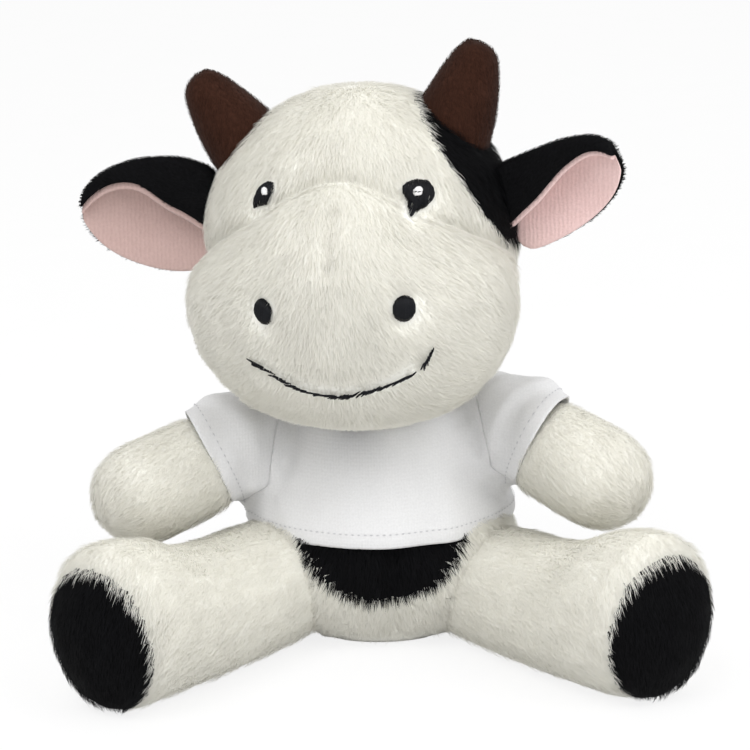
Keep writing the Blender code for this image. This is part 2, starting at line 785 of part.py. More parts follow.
    def build_head(self):
        """The fur panels of the head and its stuffing."""
        axis = self.head_axis
        white, black = self.finishes["white_fur"], self.finishes["black_fur"]
        hollow = self.cranium.grown(-FUR_THICKNESS).solid("cranium_hollow", axis)
        muzzle_hollow = self.muzzle.grown(-FUR_THICKNESS).solid("muzzle_hollow", axis)
        self.cranium_edge = self.cranium.grown(GAP).solid("cranium_edge", axis)
        self.muzzle_edge = self.muzzle.grown(GAP).solid("muzzle_edge", axis)
        cover = self.cranium.solid("head_cover", axis, white)
        patch_edge = self.patch_cutter("patch_edge", -GAP)
        cut_all(cover, [hollow, self.muzzle_edge, self.neck_cup, patch_edge])
        patch = self.cranium.solid("head_patch", axis, black)
        cut_all(patch, [hollow])
        boolean(patch, self.patch_cutter("patch_outline", 0), "INTERSECT")
        cut_all(patch, [self.muzzle_edge, self.neck_cup])
        muzzle = self.muzzle.solid("muzzle_panel", axis, white)
        cut_all(muzzle, [muzzle_hollow, self.cranium_edge, self.neck_cup])
        inner = FUR_THICKNESS + GAP
        filling = self.cranium.grown(-inner).solid("head_filling", axis, self.finishes["fibre"])
        boolean(filling, self.muzzle.grown(-inner).solid("muzzle_stuffing", axis), "UNION")
        cut_all(filling, [self.neck_cup])

    def plate(self, name, form, across, upward, size, lift, height, finish):
        """A thin domed oval of stitches that follows the surface under it."""
        width, tall = size
        low_rings, high_rings = [], []
        for index in range(1, PLATE_RINGS + 1):
            share = index / PLATE_RINGS
            ring = ellipse(
                Vector((across, 0, upward)),
                Vector((1, 0, 0)),
                Vector((0, 0, 1)),
                width / 2 * share,
                tall / 2 * share,
                SMALL_SIDES,
            )
            crown = height * (1 - share**4 / 2)
            low_rings.append([form.front(point.x, point.z, lift) for point in ring])
            high_rings.append([form.front(point.x, point.z, lift + crown) for point in ring])
        tips = (
            form.front(across, upward, lift),
            form.front(across, upward, lift + height),
        )
        rings = low_rings + high_rings[::-1]
        return skin(name, rings, tips=tips, parent=self.head_axis, finish=finish)

    def build_face(self):
        """Embroidered eyes with their glints, nostrils and the stitched smile."""
        black, white = self.finishes["black_thread"], self.finishes["white_thread"]
        eye, glint = (EYE_WIDTH, EYE_HEIGHT), (GLINT_WIDTH, GLINT_WIDTH)
        nostril = (NOSTRIL_WIDTH, NOSTRIL_HEIGHT)
        glint_lift = GAP + STITCH_HEIGHT + GAP
        for side, sign in SIDES.items():
            out = EYE_SIDEWAYS + sign * EYE_SPREAD
            self.plate(
                f"eye_{side}", self.cranium, out, EYE_RISE, eye, GAP, STITCH_HEIGHT, black
            )
            self.plate(
                f"eye_glint_{side}",
                self.cranium,
                out,
                EYE_RISE + GLINT_RISE,
                glint,
                glint_lift,
                GLINT_HEIGHT,
                white,
            )
            self.plate(
                f"nostril_{side}",
                self.muzzle,
                sign * NOSTRIL_SPREAD,
                NOSTRIL_RISE,
                nostril,
                GAP,
                STITCH_HEIGHT,
                black,
            )
        self.build_mouth(black)

    def build_mouth(self, finish):
        """One thread laid in a shallow curve over the muzzle."""
        curve = bpy.data.curves.new("mouth_stitch", "CURVE")
        curve.dimensions = "3D"
        curve.bevel_depth = MOUTH_THREAD / 2
        curve.bevel_resolution = 1
        curve.use_fill_caps = True
        line = curve.splines.new("POLY")
        line.points.add(MOUTH_POINTS - 1)
        for index, point in enumerate(line.points):
            share = 2 * index / (MOUTH_POINTS - 1) - 1
            across = MOUTH_SIDEWAYS + MOUTH_WIDTH / 2 * share
            dip = MOUTH_MIDDLE_DROP - MOUTH_CORNER_DROP
            down = MOUTH_MIDDLE_DROP - dip * share**2
            place = self.muzzle.front(across, -down, MOUTH_THREAD / 2 + GAP)
            point.co = (*place, 1.0)
        curve.materials.append(finish)
        mouth = bpy.data.objects.new("mouth_stitch", curve)
        bpy.context.scene.collection.objects.link(mouth)
        mouth.parent = self.head_axis

    def build_horns(self):
        """Stubby cones that lean out and curl up, seated on the cranium."""
        for side, sign in SIDES.items():
            lean = sign * HORN_LEANS[side]
            heading = Vector((math.sin(lean), 0, math.cos(lean)))
            across = Vector((heading.z, 0, -heading.x))
            along = Vector((0, 1, 0))
            base = self.head_middle + Vector((sign * HORN_SPREADS[side], 0, HORN_RISES[side]))
            rings = []
            for index in range(HORN_RINGS):
                place = HORN_SHARES[-1][0] * index / (HORN_RINGS - 1)
                half = HORN_BASE_WIDTH / 2 * read_shares(HORN_SHARES, place)[0]
                curl = across * (-sign * HORN_TIP_CURL * place**2)
                middle = base + heading * (HORN_LENGTH * place) + curl
                rings.append(ellipse(middle, across, along, half, half, LIMB_SIDES))
            curl = across * (-sign * HORN_TIP_CURL)
            shoulder = HORN_LENGTH * (1 + HORN_SHARES[-1][0]) / 2
            half = HORN_BASE_WIDTH / 2 * HORN_SHARES[-1][1]
            middle = base + heading * ((shoulder + HORN_LENGTH) / 2) + curl
            half *= HORN_TIP_SHARE
            rings.append(ellipse(middle, across, along, half, half, LIMB_SIDES))
            tips = (base, base + heading * HORN_LENGTH + curl)
            horn = skin(
                f"horn_{side}",
                rings,
                tips=tips,
                parent=self.head_axis,
                finish=self.finishes["brown_pile"],
            )
            boolean(horn, self.cranium_edge)

    def ear_layer(self, name, side, sign, size, near, far, finish):
        """One layer of an ear: a cupped leaf from its root on the head to its round tip."""
        rings = []
        for index in range(EAR_RINGS):
            place = EAR_SHARES[-1][0] * index / (EAR_RINGS - 1)
            half = EAR_WIDTH / 2 * read_shares(EAR_SHARES, place)[0] * size
            out = EAR_LENGTH * place * (size if index else 1)
            thin = 1 if index else EAR_EDGE_SHARE
            rings.append(self.ear_loop(sign, out, half, near, far, thin))
        middle = (near + far) / 2
        end = EAR_LENGTH * size
        tip = Vector((sign * end, middle + self.ear_depth(end, 1), 0))
        root = Vector((0, middle, 0))
        skin(name, rings, tips=(root, tip), parent=self.ear_axes[side], finish=finish)

    def ear_depth(self, out, middle_share):
        """The leaf's middle is set back and its edges come forward."""
        open_share = math.sin(math.pi * min(out / EAR_LENGTH, 1))
        return EAR_CUP * open_share * middle_share

    def ear_loop(self, sign, out, half, near, far, thin):
        points = []
        middle = (near + far) / 2
        for step in range(2 * EAR_ACROSS):
            turn = math.tau * step / (2 * EAR_ACROSS)
            rise = half * math.cos(turn)
            layer = math.sin(turn)
            share = 1 - (rise / half) ** 2
            thick = (far - near) / 2 * thin * math.copysign(math.sqrt(abs(layer)), layer)
            depth = self.ear_depth(out, share) + middle + thick
            points.append(Vector((sign * out, depth, rise)))
        return points

    def build_ears(self):
        """A black fur back and a pink lining for each ear, on an upright axis at the root."""
        self.ear_axes = {}
        half_gap = GAP / 2
        for side, sign in SIDES.items():
            reach = self.cranium.side_reach(0, EAR_RISE_ON_HEAD + CRANIUM_DROP)
            reach += EAR_STANDS[side]
            root = self.head_middle + Vector((sign * reach, 0, EAR_RISE_ON_HEAD))
            sweep = Matrix.Rotation(-sign * EAR_SWEEPS[side], 4, "Z")
            turn = Matrix.Rotation(-sign * EAR_RISES[side], 4, "Y") @ sweep
            self.ear_axes[side] = make_empty(f"ear_{side}_axis", root, turn, self.head_axis)
            self.ear_layer(
                f"ear_{side}_back",
                side,
                sign,
                1.0,
                half_gap,
                half_gap + EAR_BACK_THICKNESS,
                self.finishes["black_fur"],
            )
            self.ear_layer(
                f"ear_{side}_lining",
                side,
                sign,
                LINING_SIZE_SHARE,
                -half_gap - EAR_LINING_THICKNESS,
                -half_gap,
                self.finishes["pink_pile"],
            )

    def build_arms(self):
        """Fur covers open at the shoulder, with their stuffing and the shirt's sleeves."""
        for side in SIDES:
            axis = self.arm_axes[side]
            root = ARM_ROOT_WIDTH / 2
            hollow = self.arm.solid(f"arm_{side}_hollow", axis, FUR_THICKNESS)
            facing = Matrix.Rotation(-math.pi / 2, 4, "X")
            opening = half_space(
                f"arm_{side}_opening",
                Vector((0, root * ARM_OPENING_SHARE, 0)),
                facing,
                ARM_LENGTH,
                axis,
            )
            cover = self.arm.solid(f"arm_{side}_cover", axis, finish=self.finishes["white_fur"])
            cut_all(cover, [hollow, opening])
            inner = FUR_THICKNESS + GAP
            self.arm.solid(f"arm_{side}_filling", axis, inner, self.finishes["fibre"])
            self.build_sleeve(side, axis)

    def build_sleeve(self, side, axis):
        ways = [index / (SHIRT_RINGS - 1) for index in range(SHIRT_RINGS)]
        inner = [self.sleeve_ring(way, 0) for way in ways]
        outer = [self.sleeve_ring(way, CLOTH_THICKNESS) for way in ways]
        skin(
            f"sleeve_{side}",
            inner + outer[::-1],
            looped=True,
            parent=axis,
            finish=self.finishes["jersey"],
        )

    def build_legs(self):
        """Fur covers closed by black hoof pads, with their stuffing."""
        for side in SIDES:
            axis = self.hip_axes[side]
            hollow = self.leg.solid(f"leg_{side}_hollow", axis, FUR_THICKNESS)
            facing = Matrix.Rotation(math.pi / 2 + PAD_TILT, 4, "X")
            place = Vector((0, -LEG_LENGTH + PAD_DEPTH, 0))
            back = facing @ Vector((0, 0, GAP))
            outline = half_space(f"pad_{side}_outline", place, facing, LEG_LENGTH, axis)
            edge = half_space(f"pad_{side}_edge", place - back, facing, LEG_LENGTH, axis)
            cover = self.leg.solid(f"leg_{side}_cover", axis, finish=self.finishes["white_fur"])
            cut_all(cover, [hollow, edge, self.floor_block])
            pad = self.leg.solid(f"foot_pad_{side}", axis, finish=self.finishes["black_fur"])
            cut_all(pad, [hollow])
            boolean(pad, outline, "INTERSECT")
            cut_all(pad, [self.floor_block])
            inner = FUR_THICKNESS + GAP
            self.leg.solid(f"leg_{side}_filling", axis, inner, self.finishes["fibre"])

    def build_tail(self):
        """A short cord that turns in the back of the body, and its tuft."""
        axis = self.tail_axis
        half = TAIL_WIDTH / 2
        across, upward = Vector((1, 0, 0)), Vector((0, 0, 1))
        rings = []
        for index in range(1, ROOT_RINGS):
            turn = math.pi / 2 * index / ROOT_RINGS
            reach = half * math.sin(turn)
            middle = Vector((0, half * math.cos(turn), 0))
            rings.append(ellipse(middle, across, upward, reach, reach, SMALL_SIDES))
        for index in range(ROOT_RINGS):
            middle = Vector((0, -TAIL_LENGTH * index / (ROOT_RINGS - 1), 0))
            rings.append(ellipse(middle, across, upward, half, half, SMALL_SIDES))
        tips = (Vector((0, half, 0)), Vector((0, -TAIL_LENGTH, 0)))
        skin("tail_cord", rings, tips=tips, parent=axis, finish=self.finishes["white_fur"])
        rings = []
        for index in range(HORN_RINGS):
            place = TUFT_SHARES[-1][0] * index / (HORN_RINGS - 1)
            reach = TUFT_WIDTH / 2 * read_shares(TUFT_SHARES, place)[0]
            middle = Vector((0, -TAIL_LENGTH - GAP - TUFT_LENGTH * place, 0))
            rings.append(ellipse(middle, across, upward, reach, reach, SMALL_SIDES))
        tips = (
            Vector((0, -TAIL_LENGTH - GAP, 0)),
            Vector((0, -TAIL_LENGTH - GAP - TUFT_LENGTH, 0)),
        )
        skin("tail_tuft", rings, tips=tips, parent=axis, finish=self.finishes["black_fur"])

    def build(self):
        self.build_torso()
        self.build_neck()
        self.build_head()
        self.build_face()
        self.build_horns()
        self.build_ears()
        self.build_shirt()
        self.build_arms()
        self.build_legs()
        self.build_tail()


def main():
    clear_scene()
    Cow().build()


main()
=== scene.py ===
"""The dressed plush cow: fur, embroidery, T-shirt, floor, light and camera."""

import json
import logging
import math
from dataclasses import dataclass, field
from enum import Enum
from typing import Callable, Sequence

import bmesh
import bpy
import numpy as np
from mathutils import Matrix, Vector
from mathutils.bvhtree import BVHTree
from mathutils.kdtree import KDTree


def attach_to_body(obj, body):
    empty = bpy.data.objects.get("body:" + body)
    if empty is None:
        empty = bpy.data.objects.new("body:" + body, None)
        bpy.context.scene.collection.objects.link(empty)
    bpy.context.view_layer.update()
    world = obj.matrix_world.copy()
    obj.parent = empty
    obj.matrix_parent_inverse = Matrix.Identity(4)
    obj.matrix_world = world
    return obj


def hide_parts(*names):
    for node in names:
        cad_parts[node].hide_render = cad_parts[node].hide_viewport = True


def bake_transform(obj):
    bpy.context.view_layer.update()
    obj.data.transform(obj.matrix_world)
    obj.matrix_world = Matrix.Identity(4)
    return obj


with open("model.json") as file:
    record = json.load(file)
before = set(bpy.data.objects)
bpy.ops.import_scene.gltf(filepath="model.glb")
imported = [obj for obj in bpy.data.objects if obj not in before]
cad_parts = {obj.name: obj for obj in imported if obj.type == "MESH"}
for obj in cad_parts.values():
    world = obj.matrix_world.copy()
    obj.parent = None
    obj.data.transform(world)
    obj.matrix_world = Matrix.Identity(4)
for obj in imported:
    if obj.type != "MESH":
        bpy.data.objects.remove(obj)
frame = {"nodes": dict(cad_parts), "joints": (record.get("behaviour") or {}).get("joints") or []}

log = logging.getLogger("cow")
Points = np.ndarray
Colour = tuple[float, float, float]


class Side(Enum):
    """The cow's own sides, with the sign of X."""

    LEFT = 1
    RIGHT = -1

    @property
    def word(self) -> str:
        """The side's name in lower case."""
        return self.name.lower()


class Held(Enum):
    """How a sheet of cloth is held."""

    DRAPED = "draped"


class Socket:
    """One output of a node, on which Python's operators add Math nodes."""

    def __init__(self, paint: "Paint", link: bpy.types.NodeSocket) -> None:
        """Keeps the material and the output."""
        self.paint, self.link = paint, link

    def _math(self, operation: str, first: object, second: object) -> "Socket":
        """Adds one Math node."""
        return self.paint.node("ShaderNodeMath", {"operation": operation}, {0: first, 1: second})

    def __add__(self, other: object) -> "Socket":
        """The sum."""
        return self._math("ADD", self, other)

    def __radd__(self, other: object) -> "Socket":
        """The sum, with a number first."""
        return self._math("ADD", other, self)

    def __sub__(self, other: object) -> "Socket":
        """The difference."""
        return self._math("SUBTRACT", self, other)

    def __rsub__(self, other: object) -> "Socket":
        """The difference, with a number first."""
        return self._math("SUBTRACT", other, self)

    def __mul__(self, other: object) -> "Socket":
        """The product."""
        return self._math("MULTIPLY", self, other)

    def __rmul__(self, other: object) -> "Socket":
        """The product, with a number first."""
        return self._math("MULTIPLY", other, self)

    def __pow__(self, other: object) -> "Socket":
        """The power."""
        return self._math("POWER", self, other)


class Paint:
    """A material whose every node comes from one method."""

    def __init__(self, name: str) -> None:
        """Makes an empty material.

        Args:
            name: The finish's name.
        """
        self.material = bpy.data.materials.new(name)
        self.material.use_nodes = True
        self.tree = self.material.node_tree
        self.tree.nodes.clear()

    def node(
        self, kind: str, settings: dict | None = None, inputs: dict | None = None, output: int | str = 0
    ) -> Socket:
        """Adds a node of any kind.

        Args:
            kind: The node's type.
            settings: Its own settings, which are set first.
            inputs: Values or sockets for its inputs, by name or number.
            output: Which output to hand back.

        Returns:
            The chosen output.
        """
        made = self.tree.nodes.new(kind)
        for key, value in (settings or {}).items():
            setattr(made, key, value)
        for key, value in (inputs or {}).items():
            if isinstance(value, Socket):
                self.tree.links.new(value.link, made.inputs[key])
            else:
                made.inputs[key].default_value = value
        return Socket(self, made.outputs[output])

    def place(self) -> Socket:
        """The point's place in metres."""
        return self.node("ShaderNodeTexCoord", output="Object")

    def attribute(self, name: str) -> Socket:
        """A number stored on the mesh."""
        return self.node("ShaderNodeAttribute", {"attribute_name": name}, output="Fac")

    def noise(self, scale: float, detail: float = 2.0, where: Socket | None = None) -> Socket:
        """Soft noise with a mean near one half.

        Args:
            scale: How many blotches there are in a metre.
            detail: How many finer layers are added.
            where: The place to read, or the point's own place.

        Returns:
            The noise's value.
        """
        values = {"Vector": where or self.place(), "Scale": scale, "Detail": detail}
        return self.node("ShaderNodeTexNoise", None, values)

    def ribs(self, axis: str, where: Socket, scale: float, bent: float, detail: float) -> Socket:
        """Even soft ribs.

        Args:
            axis: The direction that the ribs follow one another in.
            where: The place to read.
            scale: How close they are.
            bent: How much noise bends them.
            detail: How many finer layers the noise has.

        Returns:
            The height, from 0 to 1.
        """
        settings = {"bands_direction": axis, "wave_profile": "SIN"}
        values = {"Vector": where, "Scale": scale, "Distortion": bent, "Detail": detail}
        return self.node("ShaderNodeTexWave", settings, values, output="Fac")

    def stretched(self, scales: Sequence[float]) -> Socket:
        """The point's place with each direction scaled by its own number."""
        values = {0: self.place(), 1: tuple(scales)}
        return self.node("ShaderNodeVectorMath", {"operation": "MULTIPLY"}, values)

    def blend(self, first: object, second: object, share: object) -> Socket:
        """Mixes two colours.

        Args:
            first: The colour at 0.
            second: The colour at 1.
            share: How much of the second there is.

        Returns:
            The mixed colour.
        """
        one, two = (c if isinstance(c, Socket) else (*c, 1.0) for c in (first, second))
        return self.node("ShaderNodeMix", {"data_type": "RGBA"}, {0: share, 6: one, 7: two}, output=2)

    def bump(self, height: Socket, distance: float, strength: float = 1.0) -> Socket:
        """A surface relief from a height that runs from 0 to 1."""
        values = {"Height": height, "Distance": distance, "Strength": strength}
        return self.node("ShaderNodeBump", None, values)

    def finish(self, passing: tuple[float, Colour] | None = None, **values: object) -> bpy.types.Material:
        """Closes the material with one Principled shader.

        Args:
            passing: How much light goes through a thin strand, and its colour.
            values: The shader's sockets, with underscores for spaces.

        Returns:
            The material.
        """
        inputs = {}
        for key, value in values.items():
            is_colour = isinstance(value, tuple) and len(value) == 3
            inputs[key.replace("_", " ")] = (*value, 1.0) if is_colour else value
        shader = self.node("ShaderNodeBsdfPrincipled", None, inputs)
        if passing:
            share, colour = passing
            through = self.node("ShaderNodeBsdfTranslucent", None, {"Color": (*colour, 1.0)})
            shader = self.node("ShaderNodeMixShader", None, {0: share, 1: shader, 2: through})
        out = self.tree.nodes.new("ShaderNodeOutputMaterial")
        self.tree.links.new(shader.link, out.inputs["Surface"])
        return self.material


@dataclass(frozen=True)
class PileFinish:
    """Fur strands that are darker at the root, as painted shade deep in the pile, with a tone of their own.
    """

    name: str
    root: Colour
    tip: Colour
    patch: Colour
    rough: float = 0.80
    sheen: float = 0.25
    shine: float = 0.25
    patch_share: float = 0.5
    passing: float = 0.40

    def material(self) -> bpy.types.Material:
        """Builds the strand's material."""
        paint = Paint(self.name)
        along, tone = paint.attribute("along"), paint.attribute("tone")
        # painted shade: each strand blends from its darker root colour to its tip colour, for the shade
        # deep in the pile
        body = paint.blend(self.root, self.tip, along**0.6)
        drift = paint.noise(38.0, 1.0) * self.patch_share
        body = paint.blend(body, self.patch, drift * tone)
        return paint.finish(
            passing=(self.passing, self.tip),
            Base_Color=body,
            Roughness=self.rough - 0.12 * tone,
            Specular_IOR_Level=self.shine,
            Sheen_Weight=self.sheen,
            Sheen_Roughness=0.45,
        )


@dataclass(frozen=True)
class BackingFinish:
    """The knitted backing and the short underfur that shows between the strands."""

    name: str
    low: Colour
    high: Colour
    sheen: float = 0.2

    def material(self) -> bpy.types.Material:
        """Builds the backing's material."""
        paint = Paint(self.name)
        streak = paint.noise(900.0, 3.0, paint.stretched((1.0, 1.0, 0.35)))
        blotch = paint.noise(45.0, 1.0)
        shade = streak * 0.7 + blotch * 0.3
        return paint.finish(
            Base_Color=paint.blend(self.low, self.high, shade),
            Roughness=0.95 - 0.15 * streak,
            Normal=paint.bump(streak, 0.0006, 0.8),
            Specular_IOR_Level=0.1,
            Sheen_Weight=self.sheen,
        )


@dataclass(frozen=True)
class JerseyFinish:
    """Fine white knit with rows of stitches."""

    name: str
    low: Colour = (0.66, 0.66, 0.665)
    high: Colour = (0.80, 0.80, 0.81)
    rows: float = 2100.0

    def material(self) -> bpy.types.Material:
        """Builds the jersey's material."""
        paint = Paint(self.name)
        where = paint.stretched((1.0, 1.0, 0.8))
        row, rib = (paint.ribs(axis, where, self.rows / 6.283, 0.6, 1.0) for axis in "ZX")
        knit = row * 0.5 + rib * 0.5
        fuzz = paint.noise(1600.0, 2.0)
        shade = knit * 0.14 + fuzz * 0.86
        return paint.finish(
            Base_Color=paint.blend(self.low, self.high, shade),
            Roughness=0.90 - 0.10 * fuzz,
            Normal=paint.bump(knit * 0.6 + fuzz * 0.4, 0.00008, 0.6),
            Sheen_Weight=0.12,
        )


@dataclass(frozen=True)
class ThreadFinish:
    """Shiny embroidery thread with fine twisted strands."""

    name: str
    low: Colour
    high: Colour
    rough: float = 0.55

    def material(self) -> bpy.types.Material:
        """Builds the thread's material."""
        paint = Paint(self.name)
        twist = paint.noise(2600.0, 2.0)
        tone = paint.attribute("tone")
        shade = twist * 0.6 + tone * 0.4
        return paint.finish(
            Base_Color=paint.blend(self.low, self.high, shade),
            Roughness=self.rough - 0.15 * twist,
            Normal=paint.bump(twist, 0.0001, 0.6),
            Specular_IOR_Level=0.15,
        )


@dataclass(frozen=True)
class RibbedFinish:
    """Short ear plush with fine ribs that run out from the root."""

    name: str
    low: Colour
    high: Colour

    def material(self) -> bpy.types.Material:
        """Builds the ear plush's material."""
        paint = Paint(self.name)
        rib = paint.ribs("X", paint.place(), 230.0, 3.0, 2.0)
        nap = paint.noise(1300.0, 3.0)
        patch = paint.noise(70.0, 1.0)
        shade = rib * 0.12 + nap * 0.55 + patch * 0.33
        return paint.finish(
            Base_Color=paint.blend(self.low, self.high, shade),
            Roughness=0.95 - 0.1 * nap,
            Normal=paint.bump(rib * 0.3 + nap * 0.7, 0.0003, 0.7),
            Sheen_Weight=0.35,
        )


@dataclass(frozen=True)
class StuffingFinish:
    """Loose fibre or a woven bag, seen only when the toy is opened."""

    name: str
    low: Colour
    high: Colour
    scale: float

    def material(self) -> bpy.types.Material:
        """Builds the stuffing's material."""
        paint = Paint(self.name)
        tuft = paint.noise(self.scale, 4.0)
        return paint.finish(
            Base_Color=paint.blend(self.low, self.high, tuft),
            Roughness=0.98 - 0.1 * tuft,
            Normal=paint.bump(tuft, 0.001, 0.9),
        )


@dataclass(frozen=True)
class FloorFinish:
    """A white floor that keeps the toy's soft shadow."""

    name: str = "studio_floor"
    glow: float = 0.80

    def material(self) -> bpy.types.Material:
        """Builds the floor's material."""
        paint = Paint(self.name)
        path = "ShaderNodeLightPath"
        seen = paint.node(path, output="Is Camera Ray")
        seen = seen + paint.node(path, output="Is Glossy Ray")
        seen = seen + paint.node(path, output="Is Transmission Ray")
        white = paint.node("ShaderNodeEmission", None, {"Color": (1, 1, 1, 1), "Strength": 1.03})
        grain = paint.noise(30.0, 2.0)
        tone = paint.blend((0.80, 0.80, 0.80), (0.84, 0.84, 0.84), grain)
        plain = paint.node("ShaderNodeBsdfDiffuse", None, {"Color": tone})
        mixed = paint.node("ShaderNodeMixShader", None, {0: seen * self.glow, 1: plain, 2: white})
        out = paint.tree.nodes.new("ShaderNodeOutputMaterial")
        paint.tree.links.new(mixed.link, out.inputs["Surface"])
        return paint.material


class Palette:
    """Every finish of the toy, made once."""

    def __init__(self) -> None:
        """Builds the materials."""
        # Each pile's first colour is its root colour, darker than its tip: painted shade deep in the fur;
        # the white pile's greenish cream root is the painted tint of its shadows.
        cream, shade = (0.93, 0.915, 0.865), (0.85, 0.85, 0.78)
        self.white_pile = PileFinish("white_pile", (0.87, 0.865, 0.79), cream, shade).material()
        root, felt = (0.85, 0.845, 0.78), (0.92, 0.91, 0.855)
        self.white_skin = BackingFinish("white_backing", root, felt).material()
        ink, night = (0.0045, 0.0045, 0.0055), (0.001, 0.001, 0.0012)
        haze = (0.010, 0.011, 0.014)
        self.black_pile = PileFinish("black_pile", night, ink, haze, 0.8, 0.0, 0.12, passing=0.2).material()
        self.black_skin = BackingFinish("black_backing", night, ink, 0.0).material()
        dark, bark = (0.020, 0.007, 0.0045), (0.060, 0.022, 0.012)
        rust = (0.10, 0.035, 0.016)
        self.brown_pile = PileFinish("brown_pile", dark, bark, rust, 0.85, 0.1, 0.15).material()
        self.brown_skin = BackingFinish("brown_backing", dark, bark, 0.05).material()
        self.pink = RibbedFinish("pink_plush", (0.62, 0.42, 0.40), (0.97, 0.72, 0.70)).material()
        # A darker copy of the same pink lining: painted shade on the lining of the cow's right ear.
        self.dusty = RibbedFinish("dusty_pink_plush", (0.42, 0.28, 0.255), (0.66, 0.48, 0.45)).material()
        self.jersey = JerseyFinish("white_jersey").material()
        low, high = (0.002, 0.002, 0.003), (0.009, 0.010, 0.013)
        self.black_thread = ThreadFinish("black_thread", low, high).material()
        low, high = (0.72, 0.72, 0.72), (0.90, 0.90, 0.90)
        self.white_thread = ThreadFinish("white_thread", low, high).material()
        # Grey seam thread, darker than the white cloth: the hem's stitches with their shadows painted into
        # their colour as painted shade.
        low, high = (0.50, 0.50, 0.52), (0.64, 0.64, 0.66)
        self.seam_thread = ThreadFinish("seam_thread", low, high, 0.8).material()
        low, high = (0.70, 0.70, 0.68), (0.85, 0.85, 0.84)
        self.fibre = StuffingFinish("fibre_stuffing", low, high, 260.0).material()
        low, high = (0.58, 0.57, 0.53), (0.74, 0.73, 0.70)
        self.pellets = StuffingFinish("pellet_cloth", low, high, 420.0).material()

    def fur(self, dark: bool) -> tuple[bpy.types.Material, bpy.types.Material, str]:
        """The skin, the pile and the record's finish of black or white fur."""
        if dark:
            return self.black_skin, self.black_pile, "black_fur"
        return self.white_skin, self.white_pile, "white_fur"


def unit(vectors: Points) -> Points:
    """Vectors drawn to a length of one."""
    size = np.linalg.norm(vectors, axis=-1, keepdims=True)
    return vectors / np.maximum(size, 1e-12)


def smooth(low: float, high: float, value: Points) -> Points:
    """A soft step from 0 at low to 1 at high, which may run either way."""
    share = np.clip((value - low) / (high - low), 0.0, 1.0)
    return share * share * (3.0 - 2.0 * share)


def ripple(points: Points, wavelength: float, seed: int) -> Points:
    """Slow hills and dips over space, the same on every run.

    Args:
        points: Where to read them.
        wavelength: About how far apart the hills are.
        seed: Which set of hills.

    Returns:
        A number from about -1 to 1 for each point.
    """
    rng = np.random.default_rng(seed)
    total = np.zeros(len(points))
    for _ in range(7):
        heading = unit(rng.normal(size=3)) * math.tau / wavelength * rng.uniform(0.7, 1.4)
        total += np.sin(points @ heading + rng.uniform(0, math.tau))
    return total / 3.2


def add_mesh(name: str, points: Points, faces: Sequence, material: bpy.types.Material) -> bpy.types.Object:
    """Makes an object from points and faces.

    Args:
        name: The piece's name.
        points: Its corners.
        faces: Rows of corner numbers.
        material: Its finish.

    Returns:
        The new object.
    """
    mesh = bpy.data.meshes.new(name)
    mesh.from_pydata([tuple(map(float, p)) for p in points], [], [tuple(map(int, f)) for f in faces])
    mesh.validate()
    mesh.materials.append(material)
    mesh.shade_smooth()
    piece = bpy.data.objects.new(name, mesh)
    bpy.context.scene.collection.objects.link(piece)
    return piece


def corners(obj: bpy.types.Object) -> Points:
    """The corners of an object's mesh."""
    flat = np.empty(len(obj.data.vertices) * 3, np.float32)
    obj.data.vertices.foreach_get("co", flat)
    return flat.reshape(-1, 3).astype(float)


def triangles(obj: bpy.types.Object) -> Points:
    """The corner numbers of the mesh's triangles."""
    mesh = obj.data
    mesh.calc_loop_triangles()
    flat = np.empty(len(mesh.loop_triangles) * 3, np.int32)
    mesh.loop_triangles.foreach_get("vertices", flat)
    return flat.reshape(-1, 3)


def corner_normals(points: Points, tris: Points) -> Points:
    """The smooth outward direction at each corner."""
    a, b, c = (points[tris[:, i]] for i in range(3))
    face = np.cross(b - a, c - a)
    total = np.zeros_like(points)
    for i in range(3):
        np.add.at(total, tris[:, i], face)
    return unit(total)


def shape_tree(name: str) -> BVHTree:
    """A tree for finding the nearest place on a solid of the frame."""
    node = frame["nodes"][name]
    return BVHTree.FromPolygons([tuple(p) for p in corners(node)], triangles(node).tolist())


def bake_modifiers(obj: bpy.types.Object) -> None:
    """Applies a piece's modifiers, so none is left."""
    graph = bpy.context.evaluated_depsgraph_get()
    graph.update()
    mesh = bpy.data.meshes.new_from_object(obj.evaluated_get(graph), depsgraph=graph)
    obj.modifiers.clear()
    obj.data = mesh


def relax(points: Points, tris: Points, rounds: int, share: float = 0.5) -> Points:
    """Rounds a surface by drawing each corner towards its neighbours.

    Args:
        points: The corners.
        tris: The triangles.
        rounds: How many times to draw them in.
        share: How far each time.

    Returns:
        The moved corners.
    """
    edges = np.concatenate([tris[:, [0, 1]], tris[:, [1, 2]], tris[:, [2, 0]]])
    edges = np.concatenate([edges, edges[:, ::-1]])
    count = np.bincount(edges[:, 0], minlength=len(points))[:, None]
    for turn in range(rounds):
        total = np.zeros_like(points)
        np.add.at(total, edges[:, 0], points[edges[:, 1]])
        pull = share if turn % 2 == 0 else -share * 0.96
        points = points + (total / np.maximum(count, 1) - points) * pull
    return points


def reskin(points: Points, tris: Points, voxel: float) -> tuple[Points, Points]:
    """Wraps a mesh in a new even skin.

    Args:
        points: The mesh's corners.
        tris: Its triangles.
        voxel: The size of the skin's cells.

    Returns:
        The skin's corners and triangles.
    """
    blank = bpy.data.materials.new("draft")
    draft = add_mesh("draft", points, tris, blank)
    remesh = draft.modifiers.new("skin", "REMESH")
    remesh.mode, remesh.voxel_size, remesh.adaptivity = "VOXEL", voxel, 0.0
    bake_modifiers(draft)
    found = corners(draft), triangles(draft)
    bpy.data.objects.remove(draft)
    bpy.data.materials.remove(blank)
    return found


